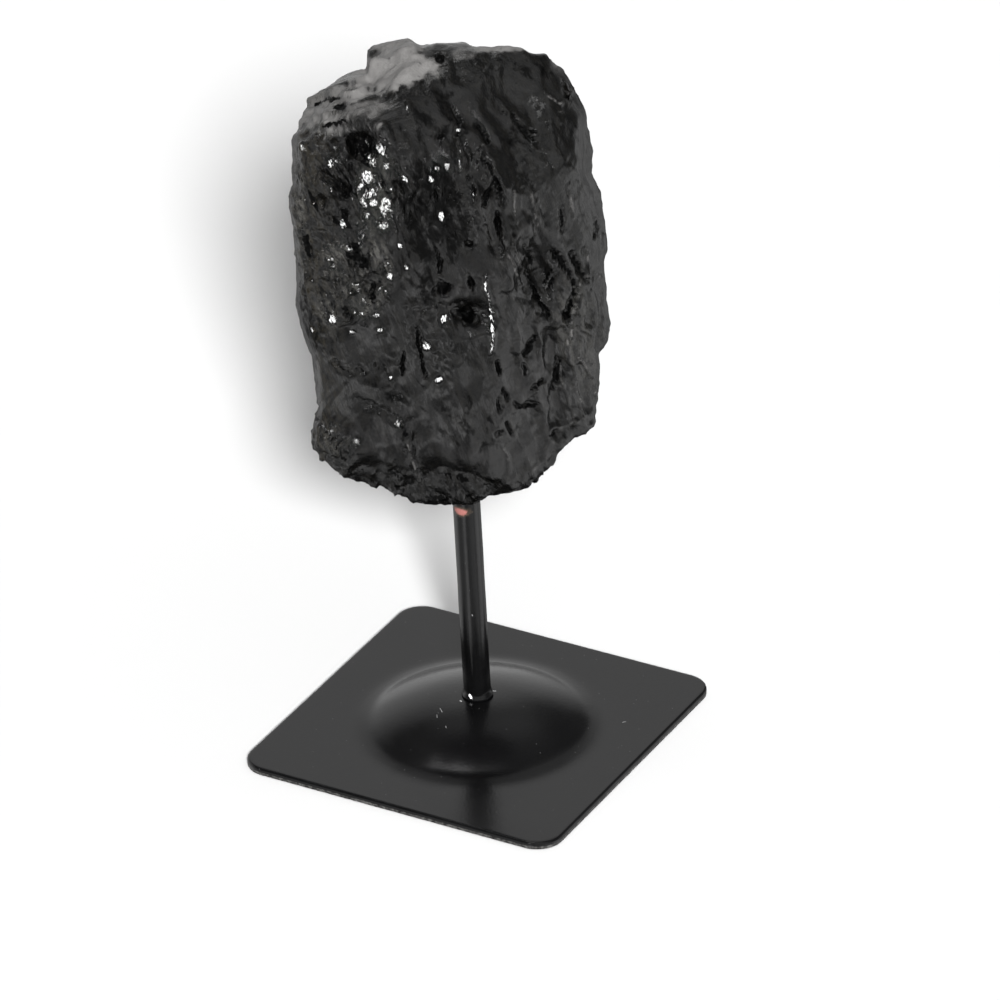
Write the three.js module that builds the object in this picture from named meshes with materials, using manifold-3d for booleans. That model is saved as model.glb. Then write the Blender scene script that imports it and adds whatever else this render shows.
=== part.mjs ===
// A rough black tourmaline held on a painted steel stand.
//
// Three pieces: a square sheet base with a pressed dome, a round rod welded to the dome, and the stone,
// drilled from below so that it sits on the rod. Millimetres, +Z up, origin under the middle of the base.
import * as THREE from 'three';
import { mergeVertices } from 'three/addons/utils/BufferGeometryUtils.js';
import Module from 'manifold-3d';

const wasm = await Module();
wasm.setup();

// ---- Base: one pressed sheet ----
const BASE_SIDE = 90;
const SHEET = 2;
const BASE_CORNER_RADIUS = 7;
const BASE_EDGE_ROUND = 0.4;
const CORNER_STEPS = 6;
const DOME_REACH = 30.5; // radius where the pressing meets the flat sheet
const DOME_RISE = 8.3;
const DOME_FILLET = 5;
const DOME_SIDES = 48;
const FILLET_STEPS = 3;
const CROWN_STEPS = 5;

// ---- Stem: rod and weld bead ----
const ROD_RADIUS = 3.5;
const ROD_SIDES = 32;
const ROD_END_CHAMFER = 0.5;
const STEM_LEAN_DEG = 1.4; // the rod is welded slightly out of upright
const BEAD_RADIUS = 4.4;
const BEAD_HEIGHT = 1.8;
const BEAD_STEPS = 4;
const SEAT_GAP = 0.3; // clearance kept between pieces that meet

// ---- Stone ----
const SHOW_TURN_DEG = 29.7; // its broad side faces this far round from -Y towards +X
const SHOW_RAISE_DEG = 29.9; // and the outline below is square to a line raised by this much
const STONE_CENTRE_HEIGHT = 132;
const STONE_CENTRE_LEFT = 3.8; // off the base's middle, towards the broad side's left
const STONE_HALF_SIZE = new THREE.Vector3(39, 25, 60); // across, deep, tall
const STONE_DETAIL = 18;
const EDGE_ROUND = 0.7;
const GRAZING = 0.05; // faces closer than this to edge-on to a ray don't bound it
const MARK_WALL = [0.65, 1.05]; // where a mark's wall starts and ends, in shares of its size
const MARK_FADE = 2; // the marks die out over about this distance past the show side
const GRAIN_LEAN_DEG = 12; // the splintery grain runs down to the right by this much
const OUTLINE_SECTORS = 150;
const OUTLINE_HOLD = 3; // how closely the outline fit keeps to the rim
const OUTLINE_PASSES = 2;
const HOLE_DEPTH = 18;
const STONE_UNDERSIDE = 73; // height at which the rod goes in

const SHOW_TURN = THREE.MathUtils.degToRad(SHOW_TURN_DEG);
const SHOW_RAISE = THREE.MathUtils.degToRad(SHOW_RAISE_DEG);

// The cleavage and growth faces that bound the stone. Each is an outward direction (across, deep, tall,
// with "deep" pointing away from the broad side) and its distance from the stone's centre.
const FACES = {
  frontLeft: { towards: [-0.2, -0.97, 0.06], distance: 21 },
  frontRight: { towards: [0.44, -0.9, -0.03], distance: 24 },
  frontShoulder: { towards: [0.2, -0.76, 0.61], distance: 38 },
  frontFoot: { towards: [-0.12, -0.88, -0.46], distance: 38 },
  top: { towards: [-0.2, 0.05, 0.98], distance: 57 },
  leftShoulder: { towards: [-0.76, 0.05, 0.65], distance: 52.5 },
  rightShoulder: { towards: [0.74, 0.1, 0.66], distance: 55 },
  left: { towards: [-0.985, -0.1, -0.03], distance: 36.8 },
  rightUpper: { towards: [0.98, -0.1, 0.1], distance: 37.8 },
  rightLower: { towards: [0.98, -0.1, -0.11], distance: 40.5 },
  footLeft: { towards: [-0.6, -0.2, -0.77], distance: 53 },
  footRight: { towards: [0.6, -0.2, -0.77], distance: 53 },
  underside: { towards: [0.02, -0.1, -0.99], distance: 59 },
  backLeft: { towards: [-0.5, 0.86, 0.08], distance: 25 },
  backRight: { towards: [0.46, 0.88, -0.06], distance: 26 },
  backShoulder: { towards: [0.1, 0.74, 0.66], distance: 45 },
  backFoot: { towards: [-0.05, 0.8, -0.6], distance: 44 },
};

// Outline of the stone square to its show side: [right of centre, above centre], clockwise from the knob.
const OUTLINE = [
  [-18.6, 54.5], [-16.9, 55.7], [-8.1, 57.7], [-5.2, 55.9], [5, 55.8], [7.9, 54.6], [18.5, 54],
  [24.9, 52.4], [30.5, 47.8], [34.7, 38.7], [36.2, 29.5], [35.6, 23.3], [37.4, 18.8], [39, 4.7],
  [38.4, 2], [39.3, -12.9], [38.7, -16.9], [36.9, -20.3], [36.6, -30], [35.2, -38.6], [32.9, -40.5],
  [29.6, -41.6], [26.4, -43.8], [24.9, -47.5], [20.2, -52.4], [13.4, -54.7], [5.6, -56.7],
  [-4.8, -57.6], [-14, -55.2], [-16.8, -53.1], [-27.6, -49.6], [-31.5, -45.5], [-33.9, -44],
  [-35.8, -39.5], [-35.4, -35.4], [-33.9, -34.8], [-34.5, -28.3], [-35, -19.2], [-38.3, -6.2],
  [-38.2, 7], [-39.3, 14.7], [-38, 33.2], [-36.7, 36.7], [-33.8, 43], [-25.8, 47.8], [-20.5, 50.6],
];

// Marks on the show side, placed like the outline. Positive depth cuts in and negative stands proud.
const MARKS = {
  topHollow: { at: [-23, 32.5], size: [8, 5], lean: -15, depth: 4 },
  ledgeLip: { at: [-20, 37.5], size: [12, 2.6], lean: 12, depth: -1.6 },
  knob: { at: [-10, 54], size: [11, 5], lean: 0, depth: -4 },
  vug: { at: [-24, 1.5], size: [7.5, 7.5], lean: 0, depth: 3 },
  vugFoot: { at: [-25, -10], size: [9, 6], lean: 20, depth: 1 },
  pit: { at: [5.5, -11], size: [6, 4.5], lean: -20, depth: 2.8 },
  slabBelowPit: { at: [3, -24], size: [8, 9], lean: 0, depth: 1.2 },
  lowerSlab: { at: [-21, -38], size: [11, 9], lean: -25, depth: 1.4 },
  lump: { at: [-32, -43], size: [5, 7], lean: 25, depth: -2.2 },
  rightCrack: { at: [22, 3], size: [2.6, 12], lean: 12, depth: 1.6 },
  lowerCrack: { at: [24, -25], size: [2.6, 10], lean: 8, depth: 1.5 },
  middleCrack: { at: [10.5, 12], size: [2.6, 12], lean: 8, depth: 1.5 },
  undercut: { at: [3, -51.5], size: [9, 2.4], lean: -12, depth: 2.4 },
};

// Axes in the stone's own frame: those of the outline's plane, the way the show side looks, and depth.
const SHOW_RIGHT = new THREE.Vector3(1, 0, 0);
const SHOW_UP = new THREE.Vector3(0, Math.sin(SHOW_RAISE), Math.cos(SHOW_RAISE));
const SHOW_FRONT = new THREE.Vector3(0, -Math.cos(SHOW_RAISE), Math.sin(SHOW_RAISE));
const DEPTH_AXIS = new THREE.Vector3(0, 1, 0);

/** Repeatable pseudo-random number from 0 to 1 for a lattice point. */
function latticeValue(x, y, z, seed) {
  const wave = Math.sin(x * 127.1 + y * 311.7 + z * 74.7 + seed * 53.3) * 43758.5453;
  return wave - Math.floor(wave);
}

/** Smooth value noise from -1 to 1 at a point. */
function smoothNoise(point, seed) {
  const cell = point.clone().floor();
  const part = point.clone().sub(cell);
  const ease = (t) => t * t * (3 - 2 * t);
  const [fx, fy, fz] = [ease(part.x), ease(part.y), ease(part.z)];
  let sum = 0;
  for (const [dx, wx] of [[0, 1 - fx], [1, fx]]) {
    for (const [dy, wy] of [[0, 1 - fy], [1, fy]]) {
      for (const [dz, wz] of [[0, 1 - fz], [1, fz]]) {
        sum += wx * wy * wz * latticeValue(cell.x + dx, cell.y + dy, cell.z + dz, seed);
      }
    }
  }
  return 2 * sum - 1;
}

/** Three.js geometry to a manifold solid. */
function toSolid(geometry) {
  const bare = geometry.index ? geometry.toNonIndexed() : geometry.clone();
  bare.deleteAttribute('normal');
  bare.deleteAttribute('uv');
  const merged = mergeVertices(bare, 1e-4);
  return new wasm.Manifold(
    new wasm.Mesh({
      numProp: 3,
      vertProperties: new Float32Array(merged.attributes.position.array),
      triVerts: new Uint32Array(merged.index.array),
    }),
  );
}

/** Manifold solid back to a three.js geometry. */
function toGeometry(solid) {
  const mesh = solid.getMesh();
  const geometry = new THREE.BufferGeometry();
  geometry.setAttribute('position', new THREE.BufferAttribute(mesh.vertProperties, mesh.numProp));
  geometry.setIndex(new THREE.BufferAttribute(mesh.triVerts, 1));
  geometry.computeVertexNormals();
  return geometry;
}

/** Lathe about +Z from [radius, height] points. */
function latheZ(points, sides) {
  const profile = points.map(([radius, height]) => new THREE.Vector2(radius, height));
  return new THREE.LatheGeometry(profile, sides).rotateX(Math.PI / 2);
}

// Centre of the dome's crown arc: it is tangent to the fillet, whose centre stands over DOME_REACH.
const ARC_CENTRES_APART = (DOME_REACH ** 2 + DOME_RISE ** 2) / (2 * DOME_RISE);
const CROWN_RADIUS = ARC_CENTRES_APART - DOME_FILLET;
const CROWN_CENTRE = SHEET + DOME_RISE - CROWN_RADIUS;
const TANGENT_ANGLE = Math.asin(DOME_REACH / ARC_CENTRES_APART);

/** Half profile of the pressing, from its foot to the axis, lowered by a sheet thickness or not. */
function domeProfile(below) {
  const points = [];
  for (let i = 0; i <= FILLET_STEPS; i += 1) {
    const angle = (TANGENT_ANGLE * i) / FILLET_STEPS;
    const radius = DOME_FILLET + below;
    points.push([
      DOME_REACH - radius * Math.sin(angle),
      SHEET + DOME_FILLET - radius * Math.cos(angle),
    ]);
  }
  for (let i = CROWN_STEPS - 1; i >= 0; i -= 1) {
    const angle = (TANGENT_ANGLE * i) / CROWN_STEPS;
    const radius = CROWN_RADIUS - below;
    points.push([radius * Math.sin(angle), CROWN_CENTRE + radius * Math.cos(angle)]);
  }
  return points;
}

/** The square sheet with its dome pressed up from below. */
function makeBase() {
  const half = BASE_SIDE / 2;
  const inner = half - BASE_CORNER_RADIUS;
  const outline = new THREE.Shape();
  outline.absarc(inner, inner, BASE_CORNER_RADIUS, 0, Math.PI / 2);
  outline.absarc(-inner, inner, BASE_CORNER_RADIUS, Math.PI / 2, Math.PI);
  outline.absarc(-inner, -inner, BASE_CORNER_RADIUS, Math.PI, 1.5 * Math.PI);
  outline.absarc(inner, -inner, BASE_CORNER_RADIUS, 1.5 * Math.PI, 2 * Math.PI);
  const sheet = new THREE.ExtrudeGeometry(outline, {
    depth: SHEET - 2 * BASE_EDGE_ROUND,
    curveSegments: CORNER_STEPS,
    bevelThickness: BASE_EDGE_ROUND,
    bevelSize: BASE_EDGE_ROUND,
    bevelOffset: -BASE_EDGE_ROUND,
    bevelSegments: 2,
  });
  sheet.translate(0, 0, BASE_EDGE_ROUND);
  const insideSheet = SHEET / 4;
  const crown = latheZ([[0, insideSheet], [DOME_REACH, insideSheet], ...domeProfile(0)], DOME_SIDES);
  const hollow = latheZ([[0, -SHEET], [DOME_REACH, -SHEET], ...domeProfile(SHEET)], DOME_SIDES);
  return toGeometry(toSolid(sheet).add(toSolid(crown)).subtract(toSolid(hollow)));
}

const DOME_TOP = SHEET + DOME_RISE;
const STEM_FOOT = DOME_TOP + SEAT_GAP;
const STEM_LENGTH = STONE_UNDERSIDE + HOLE_DEPTH - SEAT_GAP - STEM_FOOT;

/** The rod standing on its weld bead, from its own foot upwards. */
function makeStem() {
  const bead = [];
  for (let i = 0; i <= BEAD_STEPS; i += 1) {
    const angle = (0.5 * Math.PI * i) / BEAD_STEPS;
    const radius = ROD_RADIUS + (BEAD_RADIUS - ROD_RADIUS) * Math.cos(angle);
    bead.push([radius, BEAD_HEIGHT * Math.sin(angle)]);
  }
  const rodEnd = [
    [ROD_RADIUS, STEM_LENGTH - ROD_END_CHAMFER],
    [ROD_RADIUS - ROD_END_CHAMFER, STEM_LENGTH],
    [0, STEM_LENGTH],
  ];
  return latheZ([[0, 0], ...bead, ...rodEnd], ROD_SIDES);
}

/** Where a ray from the stone's centre leaves its bounding faces: its reach, with eased edges, and the
 * share of the faces there that can be seen from the show side. */
function boundingFace(direction) {
  const hits = [];
  for (const { towards, distance } of Object.values(FACES)) {
    const normal = new THREE.Vector3(...towards).normalize();
    const cosine = normal.dot(direction);
    if (cosine > GRAZING) {
      hits.push({ reach: distance / cosine, shown: normal.dot(SHOW_FRONT) > 0 ? 1 : 0 });
    }
  }
  const closest = Math.min(...hits.map(({ reach }) => reach));
  const nearness = (reach, softness) => Math.exp((closest - reach) / softness);
  let eased = 0;
  let near = 0;
  let nearShown = 0;
  for (const { reach, shown } of hits) {
    eased += nearness(reach, EDGE_ROUND);
    near += nearness(reach, MARK_FADE);
    nearShown += shown * nearness(reach, MARK_FADE);
  }
  return { reach: closest - EDGE_ROUND * Math.log(eased), shown: nearShown / near };
}

// The three scales of the broken surface: waves per millimetre across and along the grain, and height.
const SWELL = { across: 0.05, along: 0.035, height: 1.4, seed: 3 };
const CHIP = { across: 0.12, along: 0.05, height: 2.4, seed: 11 };
const HACKLE = { across: 0.25, along: 0.12, height: 0.7, seed: 23 };

/** Noise stretched along the grain. */
function grainNoise(point, { across, along, seed }) {
  return smoothNoise(new THREE.Vector3(point.x * across, point.y * across, point.z * along), seed);
}

/** Height of the broken surface over the bounding faces: broad swells, splintery chips, hackle. */
function breakage(point) {
  const grain = point.clone().applyAxisAngle(DEPTH_AXIS, THREE.MathUtils.degToRad(GRAIN_LEAN_DEG));
  const swell = SWELL.height * grainNoise(grain, SWELL);
  const chip = CHIP.height * (0.35 - Math.abs(grainNoise(grain, CHIP)));
  return swell + chip + HACKLE.height * grainNoise(grain, HACKLE);
}

/** How far the marks of the show side cut into the stone at a point. */
function markDepth(point) {
  const across = point.dot(SHOW_RIGHT);
  const above = point.dot(SHOW_UP);
  let depth = 0;
  for (const mark of Object.values(MARKS)) {
    const lean = THREE.MathUtils.degToRad(mark.lean);
    const dx = across - mark.at[0];
    const dy = above - mark.at[1];
    const x = (dx * Math.cos(lean) + dy * Math.sin(lean)) / mark.size[0];
    const y = (dy * Math.cos(lean) - dx * Math.sin(lean)) / mark.size[1];
    const inside = 1 - THREE.MathUtils.smoothstep(Math.hypot(x, y), ...MARK_WALL);
    depth += mark.depth * inside;
  }
  return depth;
}

/** Radius of the wanted outline in a direction of its plane. */
function outlineRadius(angle) {
  const ray = new THREE.Vector2(Math.cos(angle), Math.sin(angle));
  let radius = 0;
  for (let i = 0; i < OUTLINE.length; i += 1) {
    const a = new THREE.Vector2(...OUTLINE[i]);
    const b = new THREE.Vector2(...OUTLINE[(i + 1) % OUTLINE.length]);
    const side = b.clone().sub(a);
    const turn = ray.cross(side);
    if (Math.abs(turn) > 1e-9) {
      const along = a.cross(side) / turn;
      const share = a.cross(ray) / turn;
      if (share >= 0 && share <= 1 && along > radius) {
        radius = along;
      }
    }
  }
  return radius;
}

/** Stretch the points in the outline's plane until their own outline is the wanted one. */
function fitOutline(points) {
  const places = points.map((point) => ({
    across: point.dot(SHOW_RIGHT),
    above: point.dot(SHOW_UP),
  }));
  const reach = new Array(OUTLINE_SECTORS).fill(0);
  const turns = ({ across, above }) => Math.atan2(above, across) / (2 * Math.PI) + 1;
  for (const place of places) {
    const radius = Math.hypot(place.across, place.above);
    for (const shift of [-0.5, 0, 0.5]) {
      const sector = Math.floor(turns(place) * OUTLINE_SECTORS + shift) % OUTLINE_SECTORS;
      reach[sector] = Math.max(reach[sector], radius);
    }
  }
  points.forEach((point, i) => {
    const { across, above } = places[i];
    const radius = Math.hypot(across, above);
    const at = turns(places[i]) * OUTLINE_SECTORS - 0.5;
    const low = Math.floor(at);
    const part = at - low;
    const next = (low + 1) % OUTLINE_SECTORS;
    const own = reach[low % OUTLINE_SECTORS] * (1 - part) + reach[next] * part;
    const wanted = outlineRadius(Math.atan2(above, across));
    const pull = (wanted / own - 1) * Math.min(1, radius / own) ** OUTLINE_HOLD;
    point.addScaledVector(SHOW_RIGHT, across * pull);
    point.addScaledVector(SHOW_UP, above * pull);
  });
}

/** The stone before drilling, about its own centre. */
function makeRoughStone() {
  const geometry = new THREE.IcosahedronGeometry(1, STONE_DETAIL);
  geometry.deleteAttribute('normal');
  geometry.deleteAttribute('uv');
  const merged = mergeVertices(geometry, 1e-4);
  const position = merged.attributes.position;
  const points = [];
  for (let i = 0; i < position.count; i += 1) {
    const direction = new THREE.Vector3().fromBufferAttribute(position, i);
    direction.multiply(STONE_HALF_SIZE).normalize();
    const face = boundingFace(direction);
    const point = direction.clone().multiplyScalar(face.reach);
    const reach = face.reach + breakage(point) - face.shown * markDepth(point);
    points.push(direction.multiplyScalar(reach));
  }
  for (let pass = 0; pass < OUTLINE_PASSES; pass += 1) {
    fitOutline(points);
  }
  points.forEach((point, i) => position.setXYZ(i, point.x, point.y, point.z));
  return merged;
}

const stand = new THREE.Group();

const blackPaint = { color: 0x141414, roughness: 0.42, metalness: 0 };
const base = new THREE.Mesh(makeBase(), new THREE.MeshStandardMaterial(blackPaint));
base.name = 'base_plate';
stand.add(base);

// The rod leans to the left of the show side.
const leanAxis = new THREE.Vector3(0, -1, 0).applyAxisAngle(new THREE.Vector3(0, 0, 1), SHOW_TURN);
const stem = new THREE.Mesh(makeStem(), new THREE.MeshStandardMaterial(blackPaint));
stem.name = 'stem';
stem.position.z = STEM_FOOT;
stem.quaternion.setFromAxisAngle(leanAxis, THREE.MathUtils.degToRad(STEM_LEAN_DEG));
stem.updateMatrixWorld();
stand.add(stem);

const stonePlace = new THREE.Object3D();
stonePlace.position.set(-STONE_CENTRE_LEFT, 0, STONE_CENTRE_HEIGHT);
stonePlace.position.applyAxisAngle(new THREE.Vector3(0, 0, 1), SHOW_TURN);
stonePlace.rotation.z = SHOW_TURN;
stonePlace.updateMatrixWorld();

/** The hole for the rod, in the stone's own frame: it runs out past the underside. */
function makeHole() {
  const length = 2 * HOLE_DEPTH;
  const drill = new THREE.CylinderGeometry(
    ROD_RADIUS + SEAT_GAP, ROD_RADIUS + SEAT_GAP, length, ROD_SIDES,
  );
  drill.rotateX(Math.PI / 2);
  drill.translate(0, 0, STEM_LENGTH + SEAT_GAP - length / 2);
  drill.applyMatrix4(stem.matrixWorld);
  drill.applyMatrix4(stonePlace.matrixWorld.clone().invert());
  return drill;
}

const drilled = toGeometry(toSolid(makeRoughStone()).subtract(toSolid(makeHole())));
const stoneFinish = new THREE.MeshStandardMaterial({ color: 0x1c1c1c, roughness: 0.25, metalness: 0 });
const stone = new THREE.Mesh(drilled, stoneFinish);
stone.name = 'tourmaline';
stone.position.copy(stonePlace.position);
stone.rotation.copy(stonePlace.rotation);
stand.add(stone);

export default stand;
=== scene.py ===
"""A rough black tourmaline held on a painted steel stand.

The three pieces (pressed sheet base, rod with its weld bead, broken stone) are built at full detail in place
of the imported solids, then dressed, and set on a plain pale floor under soft studio light. Shapes are worked
out in millimetres in the part's own frame (+Z up, origin under the middle of the base) and reach Blender in
metres. Nothing is random from run to run: every noise has a seed.
"""

import logging
import math
from dataclasses import dataclass
from enum import Enum
from typing import Optional, Sequence, Union

import bpy
import numpy as np
from mathutils import Matrix, Vector


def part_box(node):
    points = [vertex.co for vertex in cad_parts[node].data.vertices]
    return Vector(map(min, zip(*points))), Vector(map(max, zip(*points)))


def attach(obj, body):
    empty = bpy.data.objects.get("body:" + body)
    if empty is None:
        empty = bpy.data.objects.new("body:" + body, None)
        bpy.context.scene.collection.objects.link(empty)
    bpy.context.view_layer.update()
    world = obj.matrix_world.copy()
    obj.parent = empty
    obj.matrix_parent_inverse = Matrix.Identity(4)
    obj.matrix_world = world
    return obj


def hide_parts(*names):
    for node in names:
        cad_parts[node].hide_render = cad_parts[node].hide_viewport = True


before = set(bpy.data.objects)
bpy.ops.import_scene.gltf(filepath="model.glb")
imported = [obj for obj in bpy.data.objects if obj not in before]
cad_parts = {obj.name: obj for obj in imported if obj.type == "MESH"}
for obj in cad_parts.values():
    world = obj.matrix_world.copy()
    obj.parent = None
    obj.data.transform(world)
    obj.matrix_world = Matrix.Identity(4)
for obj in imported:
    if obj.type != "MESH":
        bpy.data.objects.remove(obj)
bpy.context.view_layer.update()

LOG = logging.getLogger("tourmaline_stand")
MM = 0.001

Pair = tuple[float, float]
Triple = tuple[float, float, float]
Value = Union[float, Triple, bpy.types.NodeSocket]
Array = np.ndarray


class Slot(Enum):
    """Material slots of the record."""

    BASE = "base_paint"
    STEM = "stem_paint"
    STONE = "black_tourmaline"


class CadNode(Enum):
    """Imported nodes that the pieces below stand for."""

    BASE = "base_plate"
    STEM = "stem"
    STONE = "tourmaline"


# --- Numbers and noise ---


def smoothstep(value: Array, low: float, high: float) -> Array:
    """0 below low, 1 above high, and an eased climb between them."""
    share = np.clip((value - low) / (high - low), 0.0, 1.0)
    return share * share * (3.0 - 2.0 * share)


def unit(vector: Sequence[float]) -> Array:
    """The vector scaled to length 1."""
    array = np.asarray(vector, float)
    return array / np.linalg.norm(array)


def rays(bearings: Array) -> Array:
    """Unit vectors in plan at bearings in radians."""
    return np.stack([np.cos(bearings), np.sin(bearings)], -1)


def at_height(flat: Array, height: float) -> Array:
    """Places in plan, (n, 2), put at one height, (n, 3)."""
    return np.column_stack([flat, np.full(len(flat), height)])


def hashed(cells: Array, seed: int, channel: int) -> Array:
    """Repeatable pseudo-random numbers for lattice cells.

    Args:
        cells: Integer cell coordinates, (..., 3).
        seed: Seed of the noise.
        channel: Which of a cell's independent numbers is wanted.

    Returns:
        Numbers from 0 to 1, one per cell.
    """
    word = cells.astype(np.int64).view(np.uint64)
    mixed = word[..., 0] * np.uint64(0x9E3779B185EBCA87)
    mixed ^= word[..., 1] * np.uint64(0xC2B2AE3D27D4EB4F)
    mixed ^= word[..., 2] * np.uint64(0x165667B19E3779F9)
    mixed ^= np.uint64((seed * 0x27D4EB2F165667C5 + channel * 0x85EBCA77C2B2AE63) % 2**64)
    mixed = (mixed ^ (mixed >> np.uint64(30))) * np.uint64(0xBF58476D1CE4E5B9)
    mixed = (mixed ^ (mixed >> np.uint64(27))) * np.uint64(0x94D049BB133111EB)
    mixed ^= mixed >> np.uint64(31)
    return (mixed >> np.uint64(11)).astype(float) / 2.0**53


def sine_hash(cells: Array, seed: int) -> Array:
    """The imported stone's own numbers for lattice cells, from 0 to 1."""
    wave = np.sin(cells @ (127.1, 311.7, 74.7) + seed * 53.3) * 43758.5453
    return wave - np.floor(wave)


def value_noise(points: Array, seed: int, packed: bool = False) -> Array:
    """Smooth value noise.

    Args:
        points: Positions in cells, (n, 3).
        seed: Seed of the noise.
        packed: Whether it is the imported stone's own noise, so that the large forms match its solid.

    Returns:
        Values from -1 to 1, (n,).
    """
    cell = np.floor(points)
    part = points - cell
    ease = part * part * (3.0 - 2.0 * part)
    total = np.zeros(len(points))
    for corner in np.ndindex(2, 2, 2):
        at = np.ascontiguousarray(cell + corner)
        weight = np.prod(np.where(corner, ease, 1.0 - ease), axis=1)
        total += weight * (sine_hash(at, seed) if packed else hashed(at, seed, 0))
    return 2.0 * total - 1.0


def fractal(points: Array, seed: int, octaves: int) -> Array:
    """Value noise summed over octaves, each half as tall and twice as fine.

    Args:
        points: Positions in cells of the first octave, (n, 3).
        seed: Seed of the first octave.
        octaves: How many are summed.

    Returns:
        Values from about -1 to 1, (n,).
    """
    total = np.zeros(len(points))
    for octave in range(octaves):
        total += value_noise(points * 2.0**octave, seed + octave) / 2.0**octave
    return total / (2.0 - 2.0 ** (1 - octaves))


def near_centres(grain: Array, size: Triple, seed: int) -> tuple[Array, Array, Array]:
    """The 27 lattice cells in and around each point, and one centre in each, kept off its walls.

    Args:
        grain: Points, mm, (n, 3).
        size: Size of a cell, mm.
        seed: Seed of the pattern.

    Returns:
        The cells, their centres and the offsets of the points from those, in cells, (27, n, 3).
    """
    points = grain / np.array(size)
    steps = np.array(list(np.ndindex(3, 3, 3)), float) - 1.0
    cells = np.floor(points)[None] + steps[:, None]
    centres = cells + 0.1 + 0.8 * np.stack([hashed(cells, seed, channel) for channel in range(3)], axis=-1)
    return cells, centres, points[None] - centres


@dataclass(frozen=True)
class Facets:
    """Broken facets: cells that are each a small tilted plane, with steps between them.

    Attributes:
        cell: Size of a cell across, through and along the grain, mm.
        tilt: Steepest slope of a facet.
        step: How far a facet stands above or below the mean, mm.
        crisp: How sharply neighbours meet; higher is sharper.
        seed: Seed of the pattern.
    """

    cell: Triple
    tilt: float
    step: float
    crisp: float
    seed: int

    def centres(self, grain: Array) -> Array:
        """Middle of the facet that each point lies on.

        Args:
            grain: Points in the grain's axes, mm, (n, 3).

        Returns:
            Places in the same axes, mm, (n, 3).
        """
        _, middles, offset = near_centres(grain, self.cell, self.seed)
        nearest = np.argmin(np.sum(offset**2, axis=2), axis=0)
        return middles[nearest, np.arange(len(grain))] * np.array(self.cell)

    def height(self, grain: Array) -> Array:
        """Height of the facets over the mean surface.

        Args:
            grain: Points in the grain's axes, mm, (n, 3).

        Returns:
            Heights, mm, (n,).
        """
        cells, _, offset = near_centres(grain, self.cell, self.seed)
        distance = np.sum(offset**2, axis=2)
        weight = np.exp(-self.crisp * (distance - distance.min(axis=0)))
        plane = self.step * (2.0 * hashed(cells, self.seed, 3) - 1.0)
        for axis in range(3):
            slope = self.tilt * (2.0 * hashed(cells, self.seed, 4 + axis) - 1.0)
            plane += slope * offset[..., axis] * self.cell[axis]
        return np.sum(weight * plane, axis=0) / np.sum(weight, axis=0)


@dataclass(frozen=True)
class Scallops:
    """Shallow conchoidal scoops that meet in sharp crests.

    Attributes:
        cell: Size of a scoop across, through and along the grain, mm.
        depth: Fall from crest to floor, mm.
        seed: Seed of the pattern.
        lift: Highest rise of one scoop over the next, in cells.
        mean: Level of the mean surface between floor and crest, in cells.
    """

    cell: Triple
    depth: float
    seed: int
    lift: float = 0.35
    mean: float = 0.4

    def height(self, grain: Array) -> Array:
        """Height of the scoops over the mean surface.

        Args:
            grain: Points in the grain's axes, mm, (n, 3).

        Returns:
            Heights, mm, (n,).
        """
        cells, _, offset = near_centres(grain, self.cell, self.seed)
        lift = self.lift * hashed(cells, self.seed, 3)
        nearest = np.min(np.sum(offset**2, axis=2) + lift, axis=0)
        return self.depth * (np.minimum(nearest, 1.0) - self.mean)


# --- Meshes ---


def make_mesh(
    name: str, points_mm: Array, faces: Sequence[Array], smooth: bool = True
) -> bpy.types.Object:
    """A mesh object from points in millimetres.

    Args:
        name: Name of the object and its mesh.
        points_mm: Vertex positions, mm, (n, 3).
        faces: Arrays of vertex indices, each (m, corners).
        smooth: Whether the faces are shaded smooth.

    Returns:
        The object, linked to the scene.
    """
    mesh = bpy.data.meshes.new(name)
    mesh.vertices.add(len(points_mm))
    mesh.vertices.foreach_set("co", (points_mm * MM).astype(np.float32).ravel())
    corners = np.concatenate([group.ravel() for group in faces]).astype(np.int32)
    sizes = np.concatenate([np.full(len(group), group.shape[1]) for group in faces]).astype(np.int32)
    mesh.loops.add(len(corners))
    mesh.loops.foreach_set("vertex_index", corners)
    mesh.polygons.add(len(sizes))
    mesh.polygons.foreach_set("loop_start", np.concatenate([[0], np.cumsum(sizes)[:-1]]).astype(np.int32))
    mesh.update(calc_edges=True)
    mesh.validate()
    mesh.polygons.foreach_set("use_smooth", np.full(len(mesh.polygons), smooth))
    mesh.update()
    made = bpy.data.objects.new(name, mesh)
    bpy.context.scene.collection.objects.link(made)
    return made


def vertex_normals(points: Array, quads: Array) -> Array:
    """Area-weighted normals at the vertices of a closed quad mesh.

    Args:
        points: Vertex positions, (n, 3).
        quads: Vertex indices, anticlockwise from outside, (m, 4).

    Returns:
        Unit normals, (n, 3).
    """
    corner = points[quads]
    face = np.cross(corner[:, 2] - corner[:, 0], corner[:, 3] - corner[:, 1])
    total = np.zeros_like(points)
    for axis in range(3):
        spread = np.repeat(face[:, axis], 4)
        total[:, axis] = np.bincount(quads.ravel(), spread, minlength=len(points))
    return total / np.maximum(np.linalg.norm(total, axis=1, keepdims=True), 1e-12)


def ring_quads(rings: int, sides: int) -> Array:
    """Quads between neighbouring rings of vertices laid out one after another.

    Args:
        rings: Number of rings.
        sides: Vertices in each ring.

    Returns:
        Vertex indices, ((rings - 1) * sides, 4).
    """
    start = np.arange(rings - 1)[:, None] * sides
    here = np.arange(sides)[None]
    after = (here + 1) % sides
    beyond = start + sides
    return np.stack([start + here, start + after, beyond + after, beyond + here], -1).reshape(-1, 4)


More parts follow.
